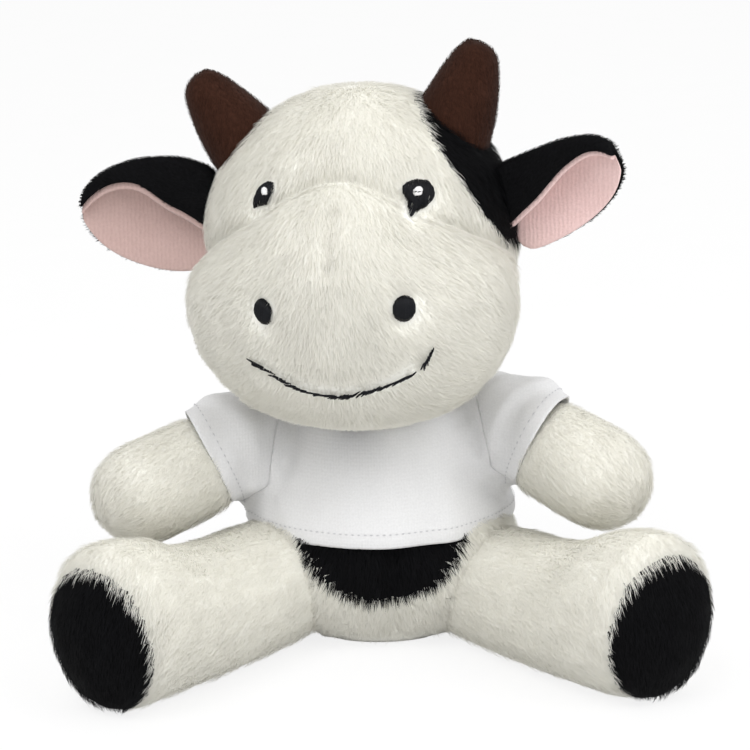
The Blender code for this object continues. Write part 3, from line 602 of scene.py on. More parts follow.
def place_tree(points: Points) -> KDTree:
    """A tree for finding the nearest of some points."""
    tree = KDTree(len(points))
    for index, place in enumerate(points.tolist()):
        tree.insert(place, index)
    tree.balance()
    return tree


@dataclass(frozen=True)
class Stuffing:
    """How Blender's Cloth blows up a coarse copy of a skin."""

    cell: float = 0.0050
    held: float = 0.0045
    pressure: float = 1200.0
    mass: float = 0.05
    stiffness: float = 5.0
    frames: int = 20


@dataclass
class Form:
    """A closed, rounded surface that pieces are cut from and fur is planted on."""

    points: Points
    tris: Points
    normals: Points = field(init=False)

    def __post_init__(self) -> None:
        """Works out the normals."""
        self.normals = corner_normals(self.points, self.tris)

    @classmethod
    def around(cls, nodes: Sequence[str], voxel: float, rounds: int, grow: float = 0.0) -> "Form":
        """Wraps the solids of some nodes in one skin.

        Args:
            nodes: The nodes of the frame.
            voxel: The size of the skin's cells.
            rounds: How often it is rounded.
            grow: How far it stands off the solids.

        Returns:
            The skin.
        """
        points, faces, start = [], [], 0
        for name in nodes:
            node = frame["nodes"][name]
            mine = corners(node)
            points.append(mine)
            faces.append(triangles(node) + start)
            start += len(mine)
        found, tris = reskin(np.concatenate(points), np.concatenate(faces), voxel)
        found = relax(found, tris, rounds)
        if grow:
            found = found + corner_normals(found, tris) * grow
        return cls(found, tris)

    def closed(self, gap: float, voxel: float, rounds: int) -> "Form":
        """Bridges the skin's hollows, as cloth spans them.

        Args:
            gap: How wide a hollow is bridged.
            voxel: The size of the new skin's cells.
            rounds: How often it is rounded.

        Returns:
            The new skin.
        """
        found, tris = reskin(self.points + self.normals * gap, self.tris, voxel)
        for _ in range(5):
            found = relax(found, tris, 4)
            found = found - corner_normals(found, tris) * gap / 5
        return Form(relax(found, tris, rounds), tris)

    def stuffed(
        self, seam: Points, cap: float = 0.0022, start: float = 0.0009, how: Stuffing = Stuffing()
    ) -> "Form":
        """Swells the skin between its seams with simulated cloth.

        Args:
            seam: Places where the cloth is held by its stitches.
            cap: How far the cloth may move.
            start: How much smaller than the skin the cloth starts.
            how: The cloth's settings.

        Returns:
            The swollen skin.
        """
        small = self.points - self.normals * start
        points, tris = reskin(small, self.tris, how.cell)
        blank = bpy.data.materials.new("draft")
        pad = add_mesh("pad", points, tris, blank)
        held = pad.vertex_groups.new(name="seam")
        if len(seam):
            tree = place_tree(seam)
            near = [i for i, place in enumerate(points.tolist()) if tree.find(place)[2] < how.held]
            held.add(near, 1.0, "ADD")
        cloth = pad.modifiers.new("cloth", "CLOTH").settings
        cloth.vertex_group_mass = "seam"
        cloth.use_pressure, cloth.uniform_pressure_force = True, how.pressure
        cloth.mass = how.mass
        cloth.tension_stiffness = cloth.compression_stiffness = how.stiffness
        cloth.effector_weights.gravity = 0.0
        scene = bpy.context.scene
        for number in range(how.frames):
            scene.frame_set(number + 1)
        bake_modifiers(pad)
        step = corners(pad) - points
        scene.frame_set(1)
        bpy.data.objects.remove(pad)
        bpy.data.materials.remove(blank)
        far = np.linalg.norm(step, axis=1, keepdims=True)
        log.info("cloth moved %.4f, at most %.4f", far.mean(), far.max())
        step = step * np.minimum(1, cap / np.maximum(far, 1e-9))
        tree = place_tree(points)
        moved = np.empty_like(small)
        for index, place in enumerate(small.tolist()):
            found = tree.find_n(place, 4)
            share = np.array([1 / (item[2] + 0.0005) for item in found])
            moved[index] = small[index] + share @ step[[item[1] for item in found]] / share.sum()
        return Form(relax(moved, self.tris, 8), self.tris)

    def moved(self, points: Points) -> "Form":
        """The same skin with its corners elsewhere."""
        return Form(points, self.tris)

    def largest(self) -> Points:
        """Which triangles belong to the largest connected part of the surface."""
        label = np.arange(len(self.points))
        while True:
            lowest = label[self.tris].min(axis=1)
            fresh = label.copy()
            for corner in range(3):
                np.minimum.at(fresh, self.tris[:, corner], lowest)
            fresh = fresh[fresh]
            if (fresh == label).all():
                break
            label = fresh
        owners = label[self.tris[:, 0]]
        found, counts = np.unique(owners, return_counts=True)
        return owners == found[counts.argmax()]

    def tree(self) -> BVHTree:
        """A tree for finding places on the skin."""
        return BVHTree.FromPolygons(self.points.tolist(), self.tris.tolist())

    def labels(self, names: Sequence[str]) -> Points:
        """Which node each triangle lies nearest to, as a number in the names."""
        return nearest_node(self.points[self.tris].mean(axis=1), names)

    def part(self, name: str, chosen: Points, material: bpy.types.Material) -> bpy.types.Object:
        """Cuts a piece from the skin.

        Args:
            name: The piece's name.
            chosen: Which triangles it has.
            material: Its finish.

        Returns:
            The new object.
        """
        used, faces = np.unique(self.tris[chosen], return_inverse=True)
        return add_mesh(name, self.points[used], faces.reshape(-1, 3), material)


def nearest_distance(points: Points, trees: Sequence[BVHTree]) -> Points:
    """How far points are from the nearest of some solids."""
    return np.array([min(tree.find_nearest(p)[3] for tree in trees) for p in points.tolist()])


def blurred(points: Points, seed: int) -> Points:
    """Points shifted a little, so that fur of two colours mixes along a border."""
    return points + np.random.default_rng(seed).normal(size=points.shape) * 0.0006


def nearest_node(points: Points, names: Sequence[str]) -> Points:
    """The number of the nearest of some nodes for each point."""
    best = np.full(len(points), 1e9)
    owner = np.zeros(len(points), int)
    for index, name in enumerate(names):
        tree = shape_tree(name)
        far = np.array([tree.find_nearest(p)[3] for p in points.tolist()])
        closer = far < best
        best[closer], owner[closer] = far[closer], index
    return owner


@dataclass(frozen=True)
class Pile:
    """How one kind of fur grows: lengths in metres, strands in a square millimetre."""

    length: float
    density: float
    width: float = 0.00024
    lift: float = 0.30
    wander: float = 0.10
    clump: float = 0.009


LONG_PILE = Pile(0.0048, 2.8)
LIMB_PILE = Pile(0.0046, 2.4)
SOLE_PILE = Pile(0.0040, 2.4)
EAR_PILE = Pile(0.0017, 3.6, lift=0.50)
HORN_PILE = Pile(0.0016, 2.6, width=0.00028, lift=0.55, clump=0.006)
TAIL_PILE = Pile(0.0036, 1.8)
TUFT_PILE = Pile(0.0065, 2.6, lift=0.22)


@dataclass
class Strands:
    """Rooted strands of one piece of fur before they become a mesh."""

    roots: Points
    normals: Points
    flow: Points
    length: Points

    def chosen(self, mask: Points) -> "Strands":
        """Only some of the strands."""
        return Strands(self.roots[mask], self.normals[mask], self.flow[mask], self.length[mask])


class Planter:
    """Plants strands on a form and makes them into a mesh."""

    def __init__(self, pile: Pile, seed: int) -> None:
        """Keeps the kind of fur and seeds its scatter."""
        self.pile = pile
        self.seed = seed
        self.rng = np.random.default_rng(seed)

    def scatter(self, form: Form, flow: Callable[[Points, Points], Points]) -> Strands:
        """Spreads roots evenly over a form and combs them.

        Args:
            form: What they grow on.
            flow: Gives the combing direction for points and normals.

        Returns:
            The strands.
        """
        a, b, c = (form.points[form.tris[:, i]] for i in range(3))
        area = np.linalg.norm(np.cross(b - a, c - a), axis=1) / 2
        count = int(area.sum() * 1e6 * self.pile.density)
        steps = (np.arange(count) + self.rng.random(count)) / count
        pick = np.searchsorted(np.cumsum(area) / area.sum(), steps).clip(0, len(area) - 1)
        first, second = self.rng.random(count), self.rng.random(count)
        over = first + second > 1
        first[over], second[over] = 1 - first[over], 1 - second[over]
        weights = np.stack([1 - first - second, first, second], 1)[:, :, None]
        tri = form.tris[pick]
        roots = (form.points[tri] * weights).sum(1)
        normals = unit((form.normals[tri] * weights).sum(1))
        comb = flow(roots, normals)
        comb = unit(comb - normals * (comb * normals).sum(1, keepdims=True))
        turn = self.pile.wander * 0.6 * ripple(roots, self.pile.clump, self.seed + 1)
        turn = turn + self.pile.wander * 1.6 * self.rng.normal(size=count)
        aside = np.cross(normals, comb)
        comb = comb * np.cos(turn)[:, None] + aside * np.sin(turn)[:, None]
        length = 1 + 0.13 * ripple(roots, self.pile.clump * 1.7, self.seed + 2)
        length += 0.12 * self.rng.normal(size=count)
        return Strands(roots, normals, comb, self.pile.length * length.clip(0.45, 1.4))

    def paths(self, strands: Strands) -> tuple[Points, Points, Points]:
        """The root, middle and tip of each strand."""
        lift = self.pile.lift + 0.04 * ripple(strands.roots, self.pile.clump * 0.8, self.seed + 3)
        lift = (lift + 0.05 * np.sin(np.arange(len(strands.roots)) * 12.9898)).clip(0.12, 0.95)
        lift, length = lift[:, None], strands.length[:, None]
        root = strands.roots - strands.normals * 0.0003
        bend = root + (strands.normals * lift * 1.05 + strands.flow * 0.30) * length
        along = np.sqrt(1 - lift**2)
        tip = root + (strands.normals * lift * 0.85 + strands.flow * along) * length
        return root, root * 0.25 + bend * 0.5 + tip * 0.25, tip

    def mesh(self, name: str, strands: Strands, material: bpy.types.Material) -> bpy.types.Object:
        """Makes the strands into tapered blades, three triangles each.

        Args:
            name: The piece's name.
            strands: The strands.
            material: Their finish.

        Returns:
            The new object.
        """
        count = len(strands.roots)
        rng = np.random.default_rng(self.seed + 9)
        root, middle, tip = self.paths(strands)
        twist = rng.normal(size=count)[:, None] * 0.25
        across = unit(np.cross(strands.flow, strands.normals) + strands.normals * twist)
        half = self.pile.width / 2 * (0.8 + 0.4 * rng.random(count))[:, None]
        points = np.stack(
            [root - across * half, root + across * half, middle + across * half * 0.8,
             middle - across * half * 0.8, tip], 1,
        ).reshape(-1, 3)
        base = np.arange(count)[:, None, None] * 5
        faces = (np.array([[0, 1, 2], [0, 2, 3], [3, 2, 4]])[None] + base).reshape(-1, 3)
        mesh = bpy.data.meshes.new(name)
        mesh.vertices.add(len(points))
        mesh.vertices.foreach_set("co", points.astype(np.float32).ravel())
        mesh.loops.add(faces.size)
        mesh.loops.foreach_set("vertex_index", faces.astype(np.int32).ravel())
        mesh.polygons.add(len(faces))
        mesh.polygons.foreach_set("loop_start", np.arange(0, faces.size, 3, dtype=np.int32))
        mesh.update(calc_edges=True)
        # along runs from 0 at the root to 1 at the tip; the pile's material follows it for the painted
        # shade at the roots
        self.number(mesh, "along", np.tile([0.0, 0.0, 0.55, 0.55, 1.0], count))
        tone = 0.5 + 0.15 * ripple(strands.roots, self.pile.clump, self.seed + 5)
        tone = (tone + 0.16 * rng.normal(size=count)).clip(0, 1)
        self.number(mesh, "tone", np.repeat(tone, 5))
        self.cells(mesh, count)
        mesh.materials.append(material)
        lean = unit(strands.normals + strands.flow * 0.15 + rng.normal(size=(count, 3)) * 0.10)
        mesh.shade_smooth()
        mesh.normals_split_custom_set_from_vertices(np.repeat(lean, 5, axis=0).tolist())
        piece = bpy.data.objects.new(name, mesh)
        bpy.context.scene.collection.objects.link(piece)
        log.info("%s: %d strands", name, count)
        return piece

    @staticmethod
    def number(mesh: bpy.types.Mesh, name: str, values: Points) -> None:
        """Stores one number for each corner."""
        layer = mesh.attributes.new(name, "FLOAT", "POINT")
        layer.data.foreach_set("value", values.astype(np.float32))

    @staticmethod
    def cells(mesh: bpy.types.Mesh, count: int) -> None:
        """Gives each strand a square of its own for the baked colours."""
        side = math.ceil(math.sqrt(count))
        index = np.arange(count)
        corner = np.stack([index % side, index // side], 1)[:, None] / side
        shape = np.array([[0.1, 0.1], [0.9, 0.1], [0.9, 0.55], [0.1, 0.55], [0.5, 0.95]]) / side
        spread = (corner + shape[None]).reshape(-1, 2)
        loops = np.empty(len(mesh.loops), np.int32)
        mesh.loops.foreach_get("vertex_index", loops)
        layer = mesh.uv_layers.new(name="OFBake")
        layer.uv.foreach_set("vector", spread[loops].astype(np.float32).ravel())


def attach(piece: bpy.types.Object, body: str, slot: str, *nodes: str) -> None:
    """Parents a piece to its body's empty and hides the frame's nodes that it stands for.

    Args:
        piece: The dressed piece.
        body: The body that it rides on.
        slot: The finish that the record names; not used.
        nodes: The frame's nodes that it stands for.
    """
    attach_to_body(piece, body)
    if nodes:
        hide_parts(*nodes)
    log.info("%s rides on %s", piece.name, body)


def rounded(piece: bpy.types.Object) -> None:
    """Subdivides a piece once, settles its modifiers and shades it smooth."""
    rounder = piece.modifiers.new("rounder", "SUBSURF")
    rounder.levels = rounder.render_levels = 1
    bake_modifiers(piece)
    piece.data.shade_smooth()


def copy_node(node: str, name: str, material: bpy.types.Material) -> bpy.types.Object:
    """Copies a solid of the frame into a new, smoother piece.

    Args:
        node: The node of the frame.
        name: The new piece's name.
        material: Its finish.

    Returns:
        The new object.
    """
    source = frame["nodes"][node]
    piece = add_mesh(name, corners(source), triangles(source), material)
    weld = piece.modifiers.new("weld", "WELD")
    weld.merge_threshold = 0.00002
    rounded(piece)
    return piece


def joint_place(name: str) -> Points:
    """Where a joint of the record is."""
    row = next(j for j in frame["joints"] if j["name"] == name)
    return np.array(row["pos_m"], float)


def press(points: Points, normals: Points, line: Points, width: float, depth: float) -> Points:
    """Sinks a surface along a line, as a seam or a row of stitches draws it in.

    Args:
        points: The corners.
        normals: Their outward directions.
        line: Points close together along the line.
        width: How far the dip reaches to each side.
        depth: How deep it is.

    Returns:
        The moved corners.
    """
    tree = place_tree(line)
    far = np.array([tree.find(p)[2] for p in points.tolist()])
    return points - normals * (depth * np.exp(-((far / width) ** 2)))[:, None]


def seam_points(form: Form, labels: Points, first: set[int], second: set[int]) -> Points:
    """The corners where one set of panels meets another.

    Args:
        form: The skin.
        labels: The panel of each triangle.
        first: The panels on one side.
        second: The panels on the other side.

    Returns:
        The corners on the seam.
    """
    touches = []
    for group in (first, second):
        mask = np.isin(labels, list(group))
        seen = np.zeros(len(form.points), bool)
        seen[form.tris[mask].ravel()] = True
        touches.append(seen)
    return form.points[touches[0] & touches[1]]


def spread_line(rows: Sequence[Sequence[float]], step: float) -> Points:
    """Fills a line of a few points with many, a step apart."""
    rows = np.array(rows, float)
    out = [rows[:1]]
    for start, end in zip(rows[:-1], rows[1:]):
        count = max(1, int(np.linalg.norm(end - start) / step))
        out.append(start + (end - start) * (np.arange(1, count + 1) / count)[:, None])
    return np.concatenate(out)


@dataclass(frozen=True)
class Outline:
    """A closed outline in the face's upright plane: a centre, and corners in millimetres."""

    centre: tuple[float, float]
    rows: tuple[tuple[float, float], ...]

    @property
    def ring(self) -> Points:
        """The corners in metres."""
        return np.array(self.rows) / 1000 + np.array(self.centre)

    def distance(self, flat: Points) -> Points:
        """How far points lie outside the outline, and less than 0 inside it."""
        ring = self.ring
        ends = np.roll(ring, -1, axis=0)
        best = np.full(len(flat), 1e9)
        inside = np.zeros(len(flat), bool)
        for a, b in zip(ring, ends):
            along = b - a
            share = np.clip(((flat - a) @ along) / (along @ along), 0, 1)
            best = np.minimum(best, np.linalg.norm(flat - a - share[:, None] * along, axis=1))
            crosses = (a[1] > flat[:, 1]) != (b[1] > flat[:, 1])
            rise = np.where(abs(b[1] - a[1]) < 1e-9, 1e-9, b[1] - a[1])
            inside ^= crosses & (flat[:, 0] < along[0] * (flat[:, 1] - a[1]) / rise + a[0])
        return np.where(inside, -best, best)

    @staticmethod
    def oval(centre: tuple[float, float], width: float, height: float, lean: float = 0.0) -> "Outline":
        """An oval outline, in millimetres, that leans by some degrees."""
        turn, rows = math.radians(lean), []
        for index in range(20):
            angle = math.tau * index / 20
            x, z = width / 2 * math.cos(angle), height / 2 * math.sin(angle)
            rows.append((x * math.cos(turn) + z * math.sin(turn), z * math.cos(turn) - x * math.sin(turn)))
        return Outline(centre, tuple(rows))


@dataclass
class HeadFrame:
    """The head's own upright frame on the neck, in which the face is laid out."""

    place: tuple[float, float, float] = (-0.001, 0.0, 0.072)
    yaw: float = -10.2
    roll: float = -3.0
    middle: tuple[float, float, float] = (0.0018, -0.0080, 0.06625)

    @property
    def matrix(self) -> Matrix:
        """From the head's frame to the world."""
        turn = Matrix.Rotation(math.radians(self.yaw), 4, "Z")
        turn = turn @ Matrix.Rotation(math.radians(self.roll), 4, "Y")
        return Matrix.Translation(self.place) @ turn

    def inward(self, points: Points) -> Points:
        """World points in the head's frame, measured from its middle."""
        back = np.array(self.matrix.inverted())
        return points @ back[:3, :3].T + back[:3, 3] - np.array(self.middle)

    def outward(self, points: Points) -> Points:
        """Points measured from the head's middle in the world."""
        out = np.array(self.matrix)
        return (points + np.array(self.middle)) @ out[:3, :3].T + out[:3, 3]

    def turned(self, vectors: Points) -> Points:
        """Directions of the head's frame in the world."""
        return vectors @ np.array(self.matrix)[:3, :3].T


@dataclass
class Face:
    """The embroidery: eyes with glints, nostrils and a smile, and the fur trimmed round it."""

    frame: HeadFrame
    palette: Palette
    eye_left: Outline = Outline(
        (0.0249, 0.0140),
        ((-4.3, 3.0), (-4.5, 1.9), (-3.1, -1.5), (-3.1, -3.2), (-1.4, -5.4), (0.0, -4.7),
         (2.3, -3.6), (4.4, -1.5), (4.3, 1.5), (2.8, 3.7), (-0.4, 4.5), (-3.0, 4.0)),
    )
    eye_right: Outline = Outline(
        (-0.0233, 0.0160),
        ((3.1, 3.5), (3.3, 1.8), (2.4, -0.7), (1.2, -2.6), (-1.1, -3.0), (-3.6, -3.9),
         (-3.3, -1.4), (-1.9, 1.3), (-0.3, 3.0), (1.4, 3.7)),
    )
    smile: tuple[tuple[float, float], ...] = (
        (-26.9, -12.1), (-24.0, -15.2), (-20.6, -18.0), (-16.2, -21.1), (-10.1, -23.6),
        (-2.4, -25.5), (5.0, -25.5), (14.2, -23.0), (22.0, -20.2), (26.0, -17.8), (28.6, -14.6),
        (30.2, -10.4),
    )
    smile_drop: float = 0.0177
    boldness: tuple[tuple[float, float], ...] = (
        (-27, 0.5), (-24, 1.0), (-19, 1.0), (-13, 0.35), (-6, 0.3), (1, 1.0), (8, 0.9), (14, 0.3),
        (22, 0.15), (27, 0.8), (31, 1.0),
    )
    gap_start: float = 0.0235
    gap_end: float = 0.0262
    thread: float = 0.00034

    def __post_init__(self) -> None:
        """Sets out the nostrils and the glints."""
        self.nostril_right = Outline.oval((-0.0208, -0.0151), 5.6, 7.8, -8.0)
        self.nostril_left = Outline.oval((0.0224, -0.0160), 6.6, 7.6, 4.0)
        self.glint_left = Outline.oval((0.0247, 0.0152), 2.5, 2.3)
        self.glint_right = Outline.oval((-0.0223, 0.0168), 2.1, 2.1, 20.0)
        self.outlines = (self.eye_left, self.eye_right, self.nostril_left, self.nostril_right)
        self.rng = np.random.default_rng(41)

    def smile_line(self, step: float = 0.0002) -> Points:
        """The smile's points in the face's upright plane."""
        rows = np.array(self.smile) / 1000 - np.array([0, self.smile_drop])
        ends = spread_line(rows, step)
        kernel = np.ones(41) / 41
        padded = np.pad(ends, ((20, 20), (0, 0)), mode="edge")
        return np.stack([np.convolve(padded[:, i], kernel, "valid") for i in (0, 1)], 1)

    def on_surface(self, flat: Points, lift: Points) -> Points:
        """Lays points of the face's plane on the head.

        Args:
            flat: Across and upward places.
            lift: How far each stands off the skin.

        Returns:
            World points.
        """
        heading = Vector(self.frame.turned(np.array([[0.0, 1.0, 0.0]]))[0])
        start = self.frame.outward(np.stack([flat[:, 0], np.full(len(flat), -0.2), flat[:, 1]], 1))
        out = np.empty_like(start)
        for index, place in enumerate(start.tolist()):
            hit, normal, _, _ = self.tree.ray_cast(Vector(place), heading)
            if hit is None:
                hit, normal, _, _ = self.tree.find_nearest(Vector(place))
            out[index] = np.array(hit) + np.array(normal) * lift[index]
        return out

    def sink(self, form: Form) -> Form:
        """Draws the head's skin in where the embroidery is.

        Args:
            form: The head's skin.

        Returns:
            The skin with its dimples.
        """
        self.tree = form.tree()
        points = form.points
        for outline, reach, depth in (
            (self.eye_left, 0.0040, 0.0008),
            (self.eye_right, 0.0040, 0.0009),
            (self.nostril_left, 0.0036, 0.0006),
            (self.nostril_right, 0.0036, 0.0006),
        ):
            middle = self.on_surface(outline.ring.mean(axis=0)[None], np.zeros(1))
            rim = self.on_surface(outline.ring, np.zeros(len(outline.ring)))
            line = np.concatenate([middle, rim, (rim + middle) / 2])
            points = press(points, form.normals, line, reach, depth)
        flat = self.smile_line(0.001)
        line = self.on_surface(flat, np.zeros(len(flat)))
        points = press(points, form.normals, line, 0.0022, 0.0013)
        sunk = form.moved(points)
        self.tree = sunk.tree()
        return sunk

    def trim(self, strands: Strands, planter: Planter) -> Strands:
        """Clips the fur that would hide the embroidery.

        Args:
            strands: The head's strands.
            planter: What bends them.

        Returns:
            The strands that stay, some of them shorter.
        """
        root, middle, tip = (self.frame.inward(p) for p in planter.paths(strands))
        front = root[:, 1] < -0.012
        keep = np.ones(len(root), bool)
        length = strands.length.copy()
        for outline in self.outlines:
            start = outline.distance(root[:, [0, 2]])
            keep &= ~(front & (start < 0.0004))
            reach = np.ones(len(root))
            for share in (1.0, 0.85, 0.7, 0.55, 0.4, 0.25):
                rest = 1 - share
                place = rest**2 * root + 2 * share * rest * (2 * middle - (root + tip) / 2) + share**2 * tip
                reach = np.where(outline.distance(place[:, [0, 2]]) < 0.0002, share - 0.14, reach)
            keep &= ~(front & (reach < 0.2))
            length *= np.where(front, reach, 1.0)
            length[front & (start < 0.0024)] *= 0.60
        tree = place_tree(np.insert(self.smile_line(0.0004), 1, 0.0, axis=1))
        box = front & (abs(root[:, 0]) < 0.04) & (root[:, 2] < -0.022) & (root[:, 2] > -0.052)
        for index in np.flatnonzero(box):
            x = root[index, 0]
            if self.gap_start < x < self.gap_end:
                continue
            places = ((p[index, 0], 0, p[index, 2]) for p in (root, tip, middle))
            far, end, half = (tree.find(place)[2] for place in places)
            if far < 0.0004:
                keep[index] = False
            elif min(end, half) < 0.0011:
                length[index] *= 0.4
        return Strands(strands.roots, strands.normals, strands.flow, length).chosen(keep)

    def threads(
        self, name: str, rows: list[tuple[Points, Points]], width: float, material: bpy.types.Material
    ) -> bpy.types.Object:
        """Makes rounded threads that lie on the skin.

        Args:
            name: The piece's name.
            rows: For each thread its points in the face's plane and their lifts.
            width: How wide a thread is.
            material: Its finish.

        Returns:
            The new object.
        """
        points, faces, tones, start, sides = [], [], [], 0, 6
        for flat, lift in rows:
            spine = self.on_surface(flat, lift)
            along = unit(np.gradient(spine, axis=0))
            up = self.frame.turned(np.tile([[0.0, -1.0, 0.0]], (len(spine), 1)))
            side = unit(np.cross(along, up))
            rise = unit(np.cross(side, along))
            count = len(spine)
            taper = np.sin(np.linspace(0.35, math.pi - 0.35, count))[:, None] ** 0.35
            ring = []
            for turn in range(sides):
                angle = math.tau * turn / sides
                round_it = side * math.cos(angle) + rise * math.sin(angle) * 0.8
                ring.append(spine + round_it * taper * width / 2)
            points.append(np.stack(ring, 1).reshape(-1, 3))
            for step in range(count - 1):
                for turn in range(sides):
                    a, b = (start + step * sides + t % sides for t in (turn, turn + 1))
                    faces.append((a, b, b + sides, a + sides))
            faces.append(tuple(start + t for t in reversed(range(sides))))
            faces.append(tuple(start + (count - 1) * sides + t for t in range(sides)))
            tones.append(np.full(count * sides, self.rng.random()))
            start += count * sides
        piece = add_mesh(name, np.concatenate(points), faces, material)
        Planter.number(piece.data, "tone", np.concatenate(tones))
        return piece

    def satin(
        self, node: str, outline: Outline, lean: float, lift: float, crown: float, white: bool = False
    ) -> None:
        """Fills an outline with threads that lie side by side.

        Args:
            node: The frame's node that they stand for.
            outline: What they fill.
            lean: The threads' direction from upright, in degrees.
            lift: How far they stand off the skin at their ends.
            crown: How much further they stand off in the middle.
            white: Whether they are white, with more even ends.
        """
        slot, thread, ragged = "black_thread", self.palette.black_thread, 0.0003
        if white:
            slot, thread, ragged = "white_thread", self.palette.white_thread, 0.0001
        turn = math.radians(lean)
        along = np.array([math.sin(turn), math.cos(turn)])
        across = np.array([along[1], -along[0]])
        ring = spread_line(np.concatenate([outline.ring, outline.ring[:1]]), 0.00005)
        offsets, places = ring @ across, ring @ along
        rows = []
        pitch = self.thread * 0.45
        low, high = offsets.min() + pitch * 0.6, offsets.max() - pitch * 0.6
        for offset in np.arange(low, high, pitch):
            near = places[abs(offsets - offset) < 0.00006]
            if len(near) < 2:
                continue
            start, end = near.min(), near.max()
            start -= ragged * self.rng.random()
            end += ragged * self.rng.random()
            share = np.linspace(0, 1, 7)
            flat = across * offset + (start + (end - start) * share)[:, None] * along
            wide = 1 - (2 * (offset - low) / (high - low) - 1) ** 2
            dome = (1 - (2 * share - 1) ** 2) ** 0.5 * max(wide, 0.0) ** 0.35
            rows.append((flat, lift + crown * dome - 0.0004 * (1 - dome) * (share % 1 == 0)))
        piece = self.threads(f"{node}_stitching", rows, self.thread, thread)
        attach(piece, "head", slot, node)

    def mouth(self) -> bpy.types.Object:
        """The smile: a line of slanting stitches that is broken near its left end."""
        line = self.smile_line()
        rows = []
        for start in range(0, len(line) - 8, 3):
            x = line[start, 0]
            if self.gap_start < x < self.gap_end:
                continue
            bold = float(np.interp(x * 1000, *zip(*self.boldness)))
            along = unit(line[min(start + 6, len(line) - 1)] - line[start])
            aside = np.array([-along[1], along[0]])
            reach = 0.0018 + 0.0006 * self.rng.random()
            rise = 0.0001 + (0.0002 + 0.0004 * self.rng.random()) * bold
            middle = line[start] + aside * 0.00012 * self.rng.normal() * (0.5 + bold)
            share = np.linspace(-1, 1, 4)[:, None]
            flat = middle + along * reach * share / 1.6 + aside * rise * share
            rows.append((flat, np.full(4, 0.0013 + 0.0003 * self.rng.random())))
        return self.threads("mouth_stitching", rows, self.thread * 1.5, self.palette.black_thread)

    def build(self) -> None:
        """Stitches every part of the face."""
        for side, eye, nostril, glint, lean in (
            (Side.LEFT, self.eye_left, self.nostril_left, self.glint_left, 6.0),
            (Side.RIGHT, self.eye_right, self.nostril_right, self.glint_right, 28.0),
        ):
            word = side.word
            self.satin(f"eye_{word}", eye, lean, 0.0011, 0.0010)
            self.satin(f"eye_glint_{word}", glint, 90.0, 0.0022, 0.0006, white=True)
            self.satin(f"nostril_{word}", nostril, lean / 2, 0.0010, 0.0012)
        attach(self.mouth(), "head", "black_thread", "mouth_stitch")


@dataclass
class Head:
    """The stuffed head: three fur panels, the face, and the horns on top."""

    palette: Palette
    voxel: float = 0.0016
    rounds: int = 14
    seam_width: float = 0.0020
    seam_depth: float = 0.0012
    neck_end: float = 0.0765
    names: tuple[str, ...] = ("head_cover", "head_patch", "muzzle_panel")
    dark: str = "head_patch"

    def __post_init__(self) -> None:
        """Sets up the head's frame and face."""
        self.frame = HeadFrame()
        self.face = Face(self.frame, self.palette)

    def flow(self, points: Points, normals: Points) -> Points:
        """Combs the fur down and outwards, and on the muzzle away from its middle seam."""
        local = self.frame.inward(points)
        x, y, z = local.T
        fore = smooth(-0.020, -0.036, y)
        low = smooth(0.010, -0.004, z)
        comb = np.stack([x * 17, np.where(y > 0, y * 18, -0.15), -np.ones_like(x)], 1)
        spread = np.stack([x * 34, np.full_like(x, 0.1), -np.ones_like(x) * 0.9], 1)
        mix = (fore * low)[:, None]
        return self.frame.turned(comb * (1 - mix) + spread * mix)

    def centre_seam(self, form: Form) -> Points:
        """The short upright seam between the muzzle's halves."""
        self.face.tree = form.tree()
        flat = spread_line([(0.0010, 0.0140), (0.0006, 0.0060), (0.0000, -0.0020)], 0.0008)
        return self.face.on_surface(flat, np.zeros(len(flat)))

    def build(self) -> None:
        """Makes the skin, plants its fur and stitches the face."""
        form = Form.around([*self.names, "head_filling", "neck_filling"], self.voxel, self.rounds, 0.0014)
        form = form.stuffed(seam_points(form, form.labels(self.names), {0, 1}, {2}))
        form = Form(form.points, form.tris[form.points[form.tris].mean(axis=1)[:, 2] > self.neck_end])
        form = Form(form.points, form.tris[form.largest()])
        labels = form.labels(self.names)
        seam = seam_points(form, labels, {0, 1}, {2})
        points = press(form.points, form.normals, seam, self.seam_width, self.seam_depth)
        form = form.moved(points)
        points = press(form.points, form.normals, self.centre_seam(form), 0.0022, 0.0009)
        form = self.face.sink(form.moved(points))
        for index, node in enumerate(self.names):
            skin, _, slot = self.palette.fur(node == self.dark)
            nodes = (node, "head_filling") if index == 0 else (node,)
            piece = form.part(f"{node}_skin", labels == index, skin)
            attach(piece, "head", slot, *nodes)
        planter = Planter(LONG_PILE, 11)
        strands = planter.scatter(form, self.flow)
        strands.length *= 0.3 + 0.7 * smooth(self.neck_end, self.neck_end + 0.009, strands.roots[:, 2])
        owner = nearest_node(blurred(strands.roots, 12), self.names)
        for index, node in enumerate(self.names):
            _, pile, slot = self.palette.fur(node == self.dark)
            mine = Planter(LONG_PILE, 11 + index)
            chosen = self.face.trim(strands.chosen(owner == index), mine)
            attach(mine.mesh(f"{node}_pile", chosen, pile), "head", slot, node)
        self.face.build()
        self.build_horns()

    def build_horns(self) -> None:
        """The two stubby horns in short brown pile."""
        for side in Side:
            node = f"horn_{side.word}"
            form = Form.around([node], 0.0011, 16, 0.0016)
            base = self.frame.inward(form.points)
            foot = self.frame.outward(base[base[:, 2].argmin()][None])[0]
            piece = form.part(f"{node}_skin", np.ones(len(form.tris), bool), self.palette.brown_skin)
            attach(piece, "head", "brown_pile", node)
            tip = form.points[form.points[:, 2].argmax()]
            heading = tip - foot
            planter = Planter(HORN_PILE, 61 + side.value)
            strands = planter.scatter(form, lambda p, n: np.tile(heading, (len(p), 1)))
            piece = planter.mesh(f"{node}_pile", strands, self.palette.brown_pile)
            attach(piece, "head", "brown_pile", node)


